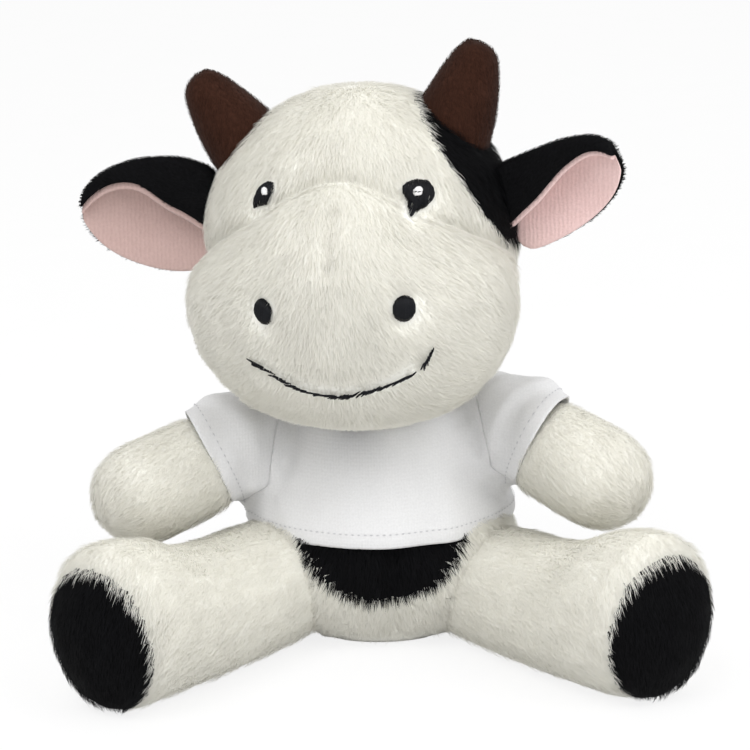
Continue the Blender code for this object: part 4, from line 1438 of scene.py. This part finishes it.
@dataclass
class Ear:
    """One ear: a black fur back whose top is folded forward over the pink lining."""

    side: Side
    palette: Palette
    head: HeadFrame
    rise: float
    sweep: float
    reach: float = 0.0500
    height: float = 0.0028
    length: float = 0.0415
    width: float = 0.0370
    cup: float = 0.0050
    thick: float = 0.0012
    bend: float = 0.0017
    edge: float = 0.0021
    lift: float = 0.0
    pink: bpy.types.Material | None = None
    flaps: tuple[tuple[float, float], ...] = (
        (0.0, 0.0165), (0.33, 0.0125), (0.53, 0.0055), (0.70, 0.0030), (1.0, 0.0022),
    )
    shares: tuple[tuple[float, float], ...] = (
        (0.0, 0.88), (0.15, 0.99), (0.30, 1.0), (0.45, 0.97), (0.60, 0.89), (0.75, 0.76), (0.87, 0.56),
        (0.95, 0.36), (0.985, 0.2),
    )

    @property
    def matrix(self) -> Matrix:
        """From the ear's own frame to the world."""
        sign = self.side.value
        x, y, z = self.head.middle
        root = Matrix.Translation((x + sign * self.reach, y, z + self.height))
        turn = Matrix.Rotation(math.radians(-sign * self.rise), 4, "Y")
        turn = turn @ Matrix.Rotation(math.radians(-sign * self.sweep), 4, "Z")
        return self.head.matrix @ root @ turn

    def path(self, out: float, offset: float, start: float, extra: float) -> Points:
        """The ear's section at a distance from the root, from its lower edge over the fold.

        Args:
            out: The distance from the root as a share of the length.
            offset: How far the layer lies behind the ear's middle surface.
            start: How far the lower edge is drawn in.
            extra: How far it shows below the folded edge.

        Returns:
            Rows of depth and height.
        """
        places, halves = zip(*self.shares)
        half = self.width / 2 * float(np.interp(out, places, halves))
        flap = float(np.interp(out, *zip(*self.flaps))) + extra
        rows = []
        for share in np.linspace(0, 1, 12):
            z = -half + start + (2 * half - start - self.bend) * share
            bulge = math.sin(math.pi * min(out, 1.0)) * (1 - (z / half) ** 2)
            rows.append((self.cup * bulge + offset, z))
        y, z = rows[-1]
        radius = self.bend + offset
        centre = y - radius
        for turn in np.linspace(0.0, 165.0, 8)[1:]:
            angle = math.radians(turn)
            rows.append((centre + radius * math.cos(angle), z + radius * math.sin(angle)))
        angle = math.radians(165.0)
        y, z = rows[-1]
        for share in (0.33, 0.66, 1.0):
            step = flap * share
            rows.append((y - math.sin(angle) * step, z + math.cos(angle) * step))
        return np.array(rows)

    def layer(
        self, name: str, near: float, far: float, size: float, extra: float, finish: bpy.types.Material
    ) -> bpy.types.Object:
        """Builds one layer as a closed shell of sections.

        Args:
            name: The piece's name.
            near: Where its front face lies.
            far: Where its back face lies.
            size: Its size as a share of the ear's.
            extra: How far it shows below the folded edge.
            finish: Its finish.

        Returns:
            The new object.
        """
        sign, rings = self.side.value, []
        places = [-0.10, 0.0, 0.08, 0.18, 0.3, 0.42, 0.54, 0.66, 0.77, 0.86, 0.93, 0.97, 0.99]
        for out in places:
            inset = self.width / 2 * (1 - size)
            front = self.path(max(out, 0.0), near, inset, extra)
            back = self.path(max(out, 0.0), far, inset, extra)
            loop = np.concatenate([front, back[::-1]])
            pinch = 0.75 if out < 0 else 1.0
            across = np.full(len(loop), sign * self.length * out * (size if out > 0 else 1))
            curl = self.lift * max(out, 0.0) ** 2
            rings.append(np.stack([across, loop[:, 0], loop[:, 1] * pinch + curl], 1))
        count = len(rings[0])
        points = np.concatenate(rings)
        faces = []
        for row in range(len(rings) - 1):
            for step in range(count):
                a, b = row * count + step, row * count + (step + 1) % count
                quad = (a, b, b + count, a + count)
                faces.append(quad if sign > 0 else quad[::-1])
        first = tuple(range(count))
        last = tuple((len(rings) - 1) * count + step for step in range(count))
        faces.append(first[::-1] if sign > 0 else first)
        faces.append(last if sign > 0 else last[::-1])
        turn = np.array(self.matrix)
        points = points @ turn[:3, :3].T + turn[:3, 3]
        piece = add_mesh(name, points, faces, finish)
        work = bmesh.new()
        work.from_mesh(piece.data)
        bmesh.ops.recalc_face_normals(work, faces=work.faces[:])
        work.to_mesh(piece.data)
        work.free()
        rounded(piece)
        return piece

    def comb(self, points: Points, normals: Points) -> Points:
        """Combs the fur out from the root and off the edges."""
        turn = np.array(self.matrix)
        local = (points - turn[:3, 3]) @ turn[:3, :3]
        out = np.full(len(local), self.side.value * 1.0)
        spread = np.stack([out, np.zeros(len(local)), local[:, 2] * 40], 1)
        return spread @ turn[:3, :3].T

    def furred(self, strands: Strands) -> Points:
        """The back of the ear, its top edge and the outside of the folded flap."""
        turn = np.array(self.matrix)
        local = (strands.roots - turn[:3, 3]) @ turn[:3, :3]
        local[:, 2] -= self.lift * (local[:, 0] / self.length) ** 2
        facing = strands.normals @ turn[:3, :3]
        depth = self.cup * np.sin(math.pi * (abs(local[:, 0]) / self.length).clip(0, 1))
        depth = depth * (1 - (2 * local[:, 2] / self.width) ** 2)
        behind = (facing[:, 1] > 0.35) & (local[:, 1] > depth - 0.0002)
        upper = facing[:, 2] > 0.45
        flap = (facing[:, 1] < -0.2) & (local[:, 1] < depth - 0.0026)
        return behind | (upper & (local[:, 2] > 0)) | flap

    def build(self) -> None:
        """Makes both layers and plants the fur of the back."""
        word = self.side.word
        black = self.palette.black_skin
        back = self.layer(f"ear_{word}_back_skin", 0.0002, self.thick + 0.0004, 1.0, 0.0, black)
        attach(back, f"ear_{word}", "black_fur", f"ear_{word}_back")
        lining = self.layer(f"ear_{word}_lining_plush", -self.thick, -0.0002, 0.99, self.edge, self.pink)
        attach(lining, f"ear_{word}", "pink_pile", f"ear_{word}_lining")
        planter = Planter(EAR_PILE, 81 + self.side.value)
        form = Form(corners(back), triangles(back))
        strands = planter.scatter(form, self.comb)
        strands = strands.chosen(self.furred(strands))
        piece = planter.mesh(f"ear_{word}_back_pile", strands, self.palette.black_pile)
        attach(piece, f"ear_{word}", "black_fur", f"ear_{word}_back")


@dataclass
class Limb:
    """An arm or leg: its joint, its direction, its skin and its fur."""

    kind: str
    side: Side
    palette: Palette
    nodes: tuple[str, ...]
    start: float = -0.02
    voxel: float = 0.0016
    rounds: int = 12
    slant: float = 0.20
    lean: float = 0.45

    @property
    def body(self) -> str:
        """The body that the limb is."""
        return f"{self.kind}_{self.side.word}"

    @property
    def joint(self) -> Points:
        """Where the limb turns."""
        return joint_place(f"{self.body}_swing")

    @property
    def heading(self) -> Points:
        """The limb's direction from its joint to its far end."""
        far = corners(frame["nodes"][self.nodes[-1]])
        middle = (far.min(axis=0) + far.max(axis=0)) / 2
        if self.kind == "arm":
            distance = np.linalg.norm(far - self.joint, axis=1)
            middle = far[distance.argmax()]
        step = middle - self.joint
        if self.kind == "leg":
            step[2] = 0
        return unit(step)

    @property
    def edge(self) -> Points:
        """The facing of a cut across the limb; a sleeve's is longer at its top and front."""
        out = self.heading
        if self.kind == "leg":
            return out
        up = unit(np.array([0, 0, 1.0]) - out * out[2])
        fore = unit(np.array([0, -1.0, 0]) + out * out[1])
        return unit(out - up * self.slant - fore * self.lean)

    def reach(self, points: Points) -> Points:
        """How far along the limb the cut through each place lies."""
        return (points - self.joint) @ self.edge / (self.heading @ self.edge)

    def bends(self, piece: bpy.types.Object, slot: str, *nodes: str) -> None:
        """Hides the nodes that a piece stands for and applies its transform to its mesh.

        Args:
            piece: The dressed piece.
            slot: The finish that the record names; not used.
            nodes: The frame's nodes that it stands for.
        """
        span = (0.008, 0.045) if self.kind == "leg" else (-0.004, 0.010)
        start, end = (tuple(self.joint + self.heading * far) for far in span)
        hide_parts(*nodes)
        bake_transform(piece)
        log.info("%s bends between torso and %s", piece.name, self.body)

    def flow(self, points: Points, normals: Points) -> Points:
        """Combs the fur along the limb and a little downwards."""
        out = self.heading + normals * 0.0
        toe = smooth(0.075, 0.10, (points - self.joint) @ self.heading)[:, None]
        down = np.array([0.0, 0.0, -1.0])
        return out * (1 - 0.8 * toe) + down * (0.25 + 0.6 * toe)

    def build(self) -> None:
        """Makes the skins and plants the fur."""
        covers = [n for n in self.nodes if "filling" not in n]
        fill = next(n for n in self.nodes if "filling" in n)
        form = Form.around(self.nodes, self.voxel, self.rounds, 0.0008)
        labels = form.labels(covers)
        seam = seam_points(form, labels, {0}, {1}) if len(covers) > 1 else np.empty((0, 3))
        form = form.stuffed(seam)
        form = form.moved(np.maximum(form.points, np.array([-1.0, -1.0, 0.0002])))
        if self.kind == "arm":
            fuller = (smooth(0.014, 0.026, self.reach(form.points)) * 0.0034 - 0.0014)[:, None]
            form = form.moved(form.points + form.normals * fuller)
        if len(covers) > 1:
            seam = seam_points(form, labels, {0}, {1})
            form = form.moved(press(form.points, form.normals, seam, 0.0016, 0.0007))
        planter = Planter(LIMB_PILE, 101 + 7 * self.side.value + len(self.kind))
        strands = planter.scatter(form, self.flow)
        strands = strands.chosen((self.reach(strands.roots) > self.start) & (strands.roots[:, 2] > 0.0038))
        owner = nearest_node(blurred(strands.roots, 13), covers)
        for index, node in enumerate(covers):
            dark = "pad" in node
            skin, pile, slot = self.palette.fur(dark)
            piece = form.part(f"{node}_skin", labels == index, skin)
            if dark:
                attach(piece, self.body, slot, node)
            else:
                self.bends(piece, slot, node, fill)
            chosen = strands.chosen(owner == index)
            if dark:
                chosen.length *= SOLE_PILE.length / LIMB_PILE.length
            piece = planter.mesh(f"{node}_pile", chosen, pile)
            if dark:
                attach(piece, self.body, slot, node)
            else:
                self.bends(piece, slot, node)


@dataclass
class Torso:
    """The stuffed body with its black belly panel, and the short tail."""

    palette: Palette
    fur_top: float = 0.0430
    top: float = 0.0650
    overlap: float = 0.0080
    tuck: float = 0.0035
    seam_presses: tuple[tuple[float, float], ...] = ((0.0036, 0.0028), (0.0012, 0.0020))
    voxel: float = 0.0018

    def flow(self, points: Points, normals: Points) -> Points:
        """Combs the fur downwards."""
        return np.tile(np.array([0.0, 0.0, -1.0]), (len(points), 1)) + points * np.array([16.0, 4.0, 0])

    def middle_seam(self, form: Form) -> Points:
        """The upright seam that halves the body below the belly panel."""
        tree, line = form.tree(), []
        for height in np.linspace(0.006, 0.036, 40).tolist():
            hit = tree.ray_cast(Vector((0.0029, -0.2, height)), Vector((0, 1, 0)))[0]
            if hit is not None:
                line.append(tuple(hit))
        return np.array(line)

    def build(self) -> None:
        """Makes the body's skins, fur, stuffing and tail."""
        covers = ["torso_cover", "belly_patch"]
        thighs = ["leg_left_cover", "leg_right_cover"]
        form = Form.around([*covers, *thighs, "torso_filling", "pellet_bag"], self.voxel, 6)
        form = form.closed(0.0100, self.voxel, 6)
        form = form.moved(form.points + form.normals * 0.0010)
        seam = self.middle_seam(form)
        for width, depth in self.seam_presses:
            form = form.moved(press(form.points, form.normals, seam, width, depth))
        labels = form.labels([*covers, *thighs])
        trees = [shape_tree(node) for node in covers]
        far = nearest_distance(form.points, trees)
        sunk = self.tuck * smooth(0.0022, 0.0075, far)
        form = form.moved(form.points - form.normals * sunk[:, None])
        middle = form.points[form.tris].mean(axis=1)
        far = nearest_distance(middle, trees)
        kept = ((labels < 2) | (far < self.overlap)) & (middle[:, 2] < self.top)
        labels = np.where(labels == 1, 1, 0)[kept]
        form = Form(form.points, form.tris[kept])
        whole = form.largest()
        labels, form = labels[whole], Form(form.points, form.tris[whole])
        planter = Planter(LIMB_PILE, 131)
        strands = planter.scatter(form, self.flow)
        strands = strands.chosen((strands.roots[:, 2] < self.fur_top) & (strands.roots[:, 2] > 0.005))
        tree = place_tree(seam)
        near = np.array([tree.find(place)[2] for place in strands.roots.tolist()])
        strands.length *= 1 - 0.85 * smooth(0.0024, 0.0010, near)
        owner = nearest_node(blurred(strands.roots, 14), covers)
        for index, node in enumerate(covers):
            skin, pile, slot = self.palette.fur(bool(index))
            piece = form.part(f"{node}_skin", labels == index, skin)
            attach(piece, "torso", slot, *((node,) if index else (node, "torso_filling")))
            piece = planter.mesh(f"{node}_pile", strands.chosen(owner == index), pile)
            attach(piece, "torso", slot, node)
        bag = copy_node("pellet_bag", "pellet_bag_cloth", self.palette.pellets)
        attach(bag, "torso", "pellet_cloth", "pellet_bag")
        neck = copy_node("neck_filling", "neck_stuffing", self.palette.fibre)
        attach(neck, "neck", "fibre", "neck_filling")
        self.build_tail()

    def build_tail(self) -> None:
        """The furry cord and its long black tuft."""
        root = joint_place("tail_swing")
        tail = (("tail_cord", False, TAIL_PILE, 141), ("tail_tuft", True, TUFT_PILE, 142))
        for node, dark, kind, seed in tail:
            form = Form.around([node], 0.0011, 8)
            skin, pile, slot = self.palette.fur(dark)
            piece = form.part(f"{node}_skin", np.ones(len(form.tris), bool), skin)
            attach(piece, "tail", slot, node)
            out = form.points[np.linalg.norm(form.points - root, axis=1).argmax()] - root
            planter = Planter(kind, seed)
            strands = planter.scatter(form, lambda p, n: np.tile(out, (len(p), 1)))
            attach(planter.mesh(f"{node}_pile", strands, pile), "tail", slot, node)


@dataclass
class Shirt:
    """The white jersey T-shirt: front, back, two sleeves and the neck band."""

    palette: Palette
    hem: float = 0.0375
    neck: float = 0.0190
    neck_sides: int = 12
    sleeve_end: float = 0.0215
    rise: float = 0.0036
    armhole: float = 0.0347
    armhole_height: float = 0.0635
    armpit: float = 0.0365
    armpit_drop: float = 0.0115
    cloth: float = 0.0007
    band: float = 0.0046
    body_stitches: int = 130
    sleeve_stitches: int = 46
    stitch_share: float = 0.62
    stitch_reach: float = 0.026
    band_steps: int = 72
    band_section: tuple[tuple[float, float], ...] = (
        (-0.0030, 0.0002), (-0.0026, 0.0011), (-0.0004, 0.0014), (0.0020, 0.0012), (0.0026, 0.0004),
    )
    voxel: float = 0.0015
    names: tuple[str, ...] = ("shirt_front", "shirt_back", "sleeve_left", "sleeve_right", "shirt_collar")

    def __post_init__(self) -> None:
        """Finds the arms, which the sleeves follow."""
        self.arms = {s: Limb("arm", s, self.palette, (f"arm_{s.word}_filling",)) for s in Side}
        self.joints = {side: arm.joint for side, arm in self.arms.items()}
        self.headings = {side: arm.heading for side, arm in self.arms.items()}

    def reach(self, points: Points, side: Side) -> tuple[Points, Points]:
        """How far points lie along an arm, and how far from its middle line."""
        step = points - self.joints[side]
        along = step @ self.headings[side]
        return along, np.linalg.norm(step - along[:, None] * self.headings[side], axis=1)

    def draped(self) -> Form:
        """The whole shirt's surface before it is cut: body and arms with loose cloth."""
        wrapped = ["torso_cover", "belly_patch", "torso_filling", "shirt_front", "shirt_back"]
        for side in Side:
            wrapped += [f"arm_{side.word}_cover", f"arm_{side.word}_filling", f"sleeve_{side.word}"]
        form = Form.around(wrapped, 0.0020, 6).closed(0.0030, self.voxel, 8)
        points = form.points
        flare = 0.0010 + smooth(self.hem + 0.016, self.hem - 0.002, points[:, 2]) * 0.0012
        folds = 0.0006 * ripple(points * np.array([1.0, 1.0, 0.25]), 0.022, 211)
        for side in Side:
            along, far = self.reach(points, side)
            near = smooth(0.026, 0.018, far) * smooth(-0.002, 0.006, along)
            folds = folds * (1 - near) + near * 0.0005 * ripple(points, 0.014, 212)
            upper = smooth(-0.6, 0.6, form.normals[:, 2])
            ends = self.arms[side].reach(points)
            loose = 0.0010 + (0.0012 - 0.0002 * upper) * smooth(0.004, self.sleeve_end, ends)
            flare = flare * (1 - near) + near * loose
            folds += self.armpit_folds(points, side)
        points = points + form.normals * (flare + folds)[:, None]
        points[:, 2] += self.rise * smooth(0.056, 0.070, points[:, 2])
        points, tris = reskin(points, form.tris, self.voxel)
        return Form(relax(points, tris, 6), tris)

    def armpit_folds(self, points: Points, side: Side) -> Points:
        """Soft folds that run out from the front of an armpit."""
        joint, out = self.joints[side], self.headings[side]
        down = unit(np.array([0, 0, -1.0]) + out * out[2])
        fore = np.array([0.25 * -side.value, -1.0, 0.0])
        pit = joint + down * 0.0125 + fore * 0.009
        step = points - pit
        far = np.linalg.norm(step, axis=1)
        angle = np.arctan2(step[:, 2], step[:, 0] * side.value)
        swell = np.exp(-(((far - 0.009) / 0.008) ** 2))
        return 0.00085 * swell * np.sin(angle * 5.0 + 0.7)

    @staticmethod
    def split(points: Points, tris: Points, planes: Sequence[tuple]) -> tuple[Points, Points]:
        """Adds edges along planes without dropping anything.

        Args:
            points: The corners.
            tris: The triangles.
            planes: Pairs of a place and a facing.

        Returns:
            The new corners and triangles.
        """
        mesh = bpy.data.meshes.new("cutting")
        mesh.from_pydata(points.tolist(), [], tris.tolist())
        work = bmesh.new()
        work.from_mesh(mesh)
        for place, facing in planes:
            everything = [*work.verts, *work.edges, *work.faces]
            bmesh.ops.bisect_plane(
                work, geom=everything, dist=0.00015, plane_co=Vector(place), plane_no=Vector(facing)
            )
        bmesh.ops.triangulate(work, faces=work.faces[:])
        work.to_mesh(mesh)
        work.free()
        piece = bpy.data.objects.new("cutting", mesh)
        found = corners(piece), triangles(piece)
        bpy.data.objects.remove(piece)
        bpy.data.meshes.remove(mesh)
        return found

    def seam_plane(self, side: Side) -> tuple[Points, Points]:
        """Where a sleeve is sewn to the body: a place and a facing."""
        place = np.array([side.value * self.armhole, 0, self.armhole_height])
        return place, unit(np.array([side.value, 0, 0.2]))

    def pit_plane(self, side: Side) -> tuple[Points, Points]:
        """Parts the sleeve's underside from the body's side below the armpit."""
        _, y, z = self.joints[side]
        pit = np.array([side.value * self.armpit, y, z - self.armpit_drop])
        return pit, unit(np.array([side.value * 0.6, 0, 0.8]))

    def sleeve(self, middle: Points, side: Side) -> Points:
        """Which places belong to a sleeve or the arm beyond it."""
        place, facing = self.seam_plane(side)
        pit, up = self.pit_plane(side)
        return ((middle - place) @ facing > 0) & ((middle - pit) @ up > 0)

    def cut(self, form: Form) -> Form:
        """Splits the surface along hems and seams and drops what lies beyond them."""
        ends = {s: (self.joints[s] + self.headings[s] * self.sleeve_end, self.arms[s].edge) for s in Side}
        planes = [((0, 0, self.hem), (0, 0, 1)), ((0, 0.0005, 0), (0, 1, 0))]
        planes += [ends[s] for s in Side] + [self.seam_plane(s) for s in Side]
        planes += [self.pit_plane(s) for s in Side]
        angles = [math.tau * index / self.neck_sides for index in range(self.neck_sides)]
        facings = [np.array([math.cos(angle), math.sin(angle)]) for angle in angles]
        planes += [((*(facing * self.neck), 0), (*facing, 0)) for facing in facings]
        points, tris = self.split(form.points, form.tris, planes)
        middle = points[tris].mean(axis=1)
        keep = middle[:, 2] > self.hem
        ring = np.max([middle[:, :2] @ facing for facing in facings], axis=0)
        keep &= ~((ring < self.neck) & (middle[:, 2] > 0.058))
        for side in Side:
            place, facing = ends[side]
            keep &= ~(((middle - place) @ facing > 0) & self.sleeve(middle, side))
        kept = Form(points, tris[keep])
        return Form(points, kept.tris[kept.largest()])

    def panels(self, shirt: Form) -> Points:
        """Which of the shirt's pieces each triangle belongs to."""
        middle = shirt.points[shirt.tris].mean(axis=1)
        labels = np.where(middle[:, 1] < 0.0005, 0, 1)
        for side in Side:
            labels = np.where(self.sleeve(middle, side), 2 if side is Side.LEFT else 3, labels)
        return labels

    def stitches(self, name: str, rows: list[tuple[Points, ...]], body: str, node: str) -> None:
        """Lays a dashed line of hem stitches on the cloth.

        Args:
            name: The piece's name.
            rows: Each dash's two ends and its upward direction.
            body: The body that the line rides on.
            node: The node whose hem it is.
        """
        points, faces, tones = [], [], []
        for index, (start, end, up) in enumerate(rows):
            along = unit(end - start)
            side = np.cross(along, up) * 0.00024
            raise_by = up * 0.00020
            middle = (start + end) / 2 + raise_by
            base = index * 6
            points += [start, start + side * 0.2, middle + side, end, middle - side, middle + raise_by]
            faces += [(base, base + 2, base + 5), (base + 2, base + 3, base + 5),
                      (base + 3, base + 4, base + 5), (base + 4, base, base + 5)]
            tones += [0.3 + 0.4 * (index % 3) / 2] * 6
        # The grey seam thread paints the stitches' shadows into their colour.
        piece = add_mesh(name, np.array(points), faces, self.palette.seam_thread)
        Planter.number(piece.data, "tone", np.array(tones))
        attach(piece, body, "jersey", node)

    def build(self) -> None:
        """Makes the shirt, cuts it into its pieces and stitches the hems."""
        form = self.draped()
        shirt = self.cut(form)
        labels = self.panels(shirt)
        seam = seam_points(shirt, labels, {0, 1}, {2, 3})
        shirt = shirt.moved(press(shirt.points, shirt.normals, seam, 0.0009, 0.0005))
        sides = seam_points(shirt, labels, {0}, {1})
        shirt = shirt.moved(press(shirt.points, shirt.normals, sides, 0.0008, 0.0004))
        arms = {f"sleeve_{side.word}": self.arms[side] for side in Side}
        for index, node in enumerate(self.names[:4]):
            piece = shirt.part(f"{node}_cloth", labels == index, self.palette.jersey)
            area = self.thickened(piece)
            if node in arms:
                arms[node].bends(piece, "jersey", node)
            else:
                attach(piece, "torso", "jersey", node)
        self.collar(form)
        self.hem_stitches(form)

    def thickened(self, piece: bpy.types.Object) -> float:
        """Gives a piece its cloth's thickness and returns the area that it had without."""
        area = sum(p.area for p in piece.data.polygons)
        wall = piece.modifiers.new("wall", "SOLIDIFY")
        wall.thickness, wall.offset = self.cloth, -1.0
        bake_modifiers(piece)
        log.info("%s: cloth area %.6f", piece.name, area)
        return area

    def collar(self, form: Form) -> None:
        """The ribbed band round the neck, laid on the shirt's top."""
        tree = form.tree()
        rows, points, count = self.band_section, [], self.band_steps
        for index in range(count):
            angle = math.tau * index / count
            for across, lift in rows:
                far = self.neck / math.cos(math.pi / self.neck_sides) + across
                x, y = far * math.cos(angle), far * math.sin(angle)
                hit = tree.ray_cast(Vector((x, y, 0.12)), Vector((0, 0, -1)))[0]
                points.append((x, y, (hit.z if hit else 0.070) + lift - 0.0004))
        points = np.array(points).reshape(count, len(rows), 3)
        for _ in range(6):
            beside = np.roll(points, 1, 0) + np.roll(points, -1, 0)
            points[:, :, 2] = beside[:, :, 2] / 4 + points[:, :, 2] / 2
        faces, wide = [], len(rows)
        for index in range(count):
            for step in range(wide - 1):
                a, b = index * wide + step, ((index + 1) % count) * wide + step
                faces.append((a, a + 1, b + 1, b))
        piece = add_mesh("shirt_collar_band", points.reshape(-1, 3), faces, self.palette.jersey)
        area = self.thickened(piece)
        attach(piece, "torso", "jersey", "shirt_collar")

    def dashes(
        self, tree: BVHTree, centre: Points, axes: tuple[Points, Points], count: int, reach: float
    ) -> list[tuple[Points, ...]]:
        """Finds the stitches of one hem, evenly spaced where rays from a place meet the cloth.

        Args:
            tree: The cloth's surface.
            centre: Where the rays start.
            axes: The two directions that span the rays' plane.
            count: How many stitches go round.
            reach: How far away the cloth may be.

        Returns:
            Each stitch's two ends, just off the cloth, and its upward direction.
        """
        rows, origin = [], Vector(centre)
        for index in range(count):
            ends = []
            for shift in (0.0, self.stitch_share):
                angle = math.tau * (index + shift) / count
                ray = Vector(axes[0] * math.cos(angle) + axes[1] * math.sin(angle))
                hit, normal, _, _ = tree.ray_cast(origin, ray)
                if hit is not None and (hit - origin).length < reach:
                    ends.append((np.array(hit), np.array(normal)))
            if len(ends) == 2:
                up = ends[0][1]
                rows.append((ends[0][0] + up * 0.00008, ends[1][0] + up * 0.00008, up))
        return rows

    def hem_stitches(self, form: Form) -> None:
        """Runs dashes round the body's hem and round each sleeve's."""
        tree = form.tree()
        axes = np.array([0, -1.0, 0]), np.array([1.0, 0, 0])
        centre = np.array([0, 0, self.hem + self.band])
        rows = self.dashes(tree, centre, axes, self.body_stitches, 1.0)
        fore = [r for r in rows if r[0][1] < 0]
        rear = [r for r in rows if r[0][1] >= 0]
        self.stitches("hem_stitches_front", fore, "torso", "shirt_front")
        self.stitches("hem_stitches_back", rear, "torso", "shirt_back")
        for side in Side:
            facing = self.arms[side].edge
            first = unit(np.cross(facing, np.array([0, 0, 1.0])))
            centre = self.joints[side] + self.headings[side] * (self.sleeve_end - self.band)
            axes = first, np.cross(facing, first)
            rows = self.dashes(tree, centre, axes, self.sleeve_stitches, self.stitch_reach)
            self.stitches(f"hem_stitches_{side.word}", rows, f"arm_{side.word}", f"sleeve_{side.word}")


@dataclass
class Studio:
    """The white floor, the soft light and the camera."""

    target: tuple[float, float, float] = (-0.00096, -0.03, 0.092)
    distance: float = 1.0
    elevation: float = 15.0
    roll: float = 1.5
    lens: float = 150.0

    def camera(self) -> None:
        """Puts the camera where the photograph was taken from."""
        rise, roll = math.radians(self.elevation), math.radians(self.roll)
        view = Vector((0, math.cos(rise), -math.sin(rise)))
        up, right = Vector((0, math.sin(rise), math.cos(rise))), Vector((1, 0, 0))
        tall = up * math.cos(roll) + right * math.sin(roll)
        wide = right * math.cos(roll) - up * math.sin(roll)
        data = bpy.data.cameras.new("camera")
        data.lens, data.sensor_width = self.lens, 36.0
        data.clip_start, data.clip_end = 0.05, 20.0
        camera = bpy.data.objects.new("camera", data)
        bpy.context.scene.collection.objects.link(camera)
        turn = Matrix((wide, tall, -view)).transposed().to_4x4()
        camera.matrix_world = Matrix.Translation(Vector(self.target) - view * self.distance) @ turn
        bpy.context.scene.camera = camera

    def lamp(self, name: str, place: Sequence[float], size: float, power: float) -> None:
        """Adds one soft square lamp that faces the toy.

        Args:
            name: The lamp's name.
            place: Where it stands.
            size: Its side.
            power: Its power in watts.
        """
        data = bpy.data.lights.new(name, "AREA")
        data.size, data.energy = size, power
        lamp = bpy.data.objects.new(name, data)
        bpy.context.scene.collection.objects.link(lamp)
        lamp.location = place
        lamp.rotation_mode = "QUATERNION"
        lamp.rotation_quaternion = (Vector((0, 0, 0.08)) - Vector(place)).to_track_quat("-Z", "Y")

    def build(self) -> None:
        """Sets up the floor, the world, the lamps and the camera."""
        points = np.array([(-3, -3, 0), (3, -3, 0), (3, 3, 0), (-3, 3, 0)], float)
        floor = add_mesh("studio_floor", points, [(0, 1, 2, 3)], FloorFinish().material())
        world = bpy.data.worlds.new("studio")
        bpy.context.scene.world = world
        world.use_nodes = True
        tree = world.node_tree
        tree.nodes.clear()
        seen = tree.nodes.new("ShaderNodeLightPath").outputs["Is Camera Ray"]
        room, back = tree.nodes.new("ShaderNodeBackground"), tree.nodes.new("ShaderNodeBackground")
        room.inputs["Strength"].default_value = 0.80
        back.inputs["Strength"].default_value = 1.0
        for node in (room, back):
            node.inputs["Color"].default_value = (1, 1, 1, 1)
        mix, out = tree.nodes.new("ShaderNodeMixShader"), tree.nodes.new("ShaderNodeOutputWorld")
        tree.links.new(seen, mix.inputs[0])
        tree.links.new(room.outputs[0], mix.inputs[1])
        tree.links.new(back.outputs[0], mix.inputs[2])
        tree.links.new(mix.outputs[0], out.inputs["Surface"])
        self.lamp("key_lamp", (-0.45, -0.80, 1.30), 0.9, 9.0)
        self.lamp("fill_lamp", (0.80, -0.60, 0.80), 0.9, 5.5)
        self.camera()
        view = bpy.context.scene.view_settings
        view.view_transform = "Standard"


def main() -> None:
    """Builds the toy piece by piece and sets it in the studio."""
    logging.basicConfig(level=logging.INFO, format="%(message)s")
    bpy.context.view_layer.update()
    palette = Palette()
    head = Head(palette)
    head.build()
    long_flap = ((0.0, 0.0165), (0.3, 0.0120), (0.55, 0.0062), (0.8, 0.0022), (1.0, 0.0014))
    full = (
        (0.0, 1.0), (0.15, 1.02), (0.30, 1.0), (0.45, 0.97), (0.60, 0.91), (0.75, 0.80), (0.87, 0.64),
        (0.95, 0.45), (0.985, 0.27),
    )
    Ear(Side.LEFT, palette, head.frame, 21.0, 14.0, height=0.0008, width=0.0285, length=0.0410,
        edge=0.0014, lift=0.0040, pink=palette.pink, flaps=long_flap, shares=full).build()
    # The cow's right ear takes the darker copy of the pink lining, as painted shade.
    Ear(Side.RIGHT, palette, head.frame, 8.0, 2.0, height=0.0018, length=0.0430, pink=palette.dusty).build()
    for side in Side:
        word = side.word
        Limb("leg", side, palette, (f"leg_{word}_cover", f"leg_{word}_filling", f"foot_pad_{word}")).build()
        Limb("arm", side, palette, (f"arm_{word}_cover", f"arm_{word}_filling"), 0.0165).build()
    Torso(palette).build()
    Shirt(palette).build()
    Studio().build()


if __name__ == "__main__":
    main()
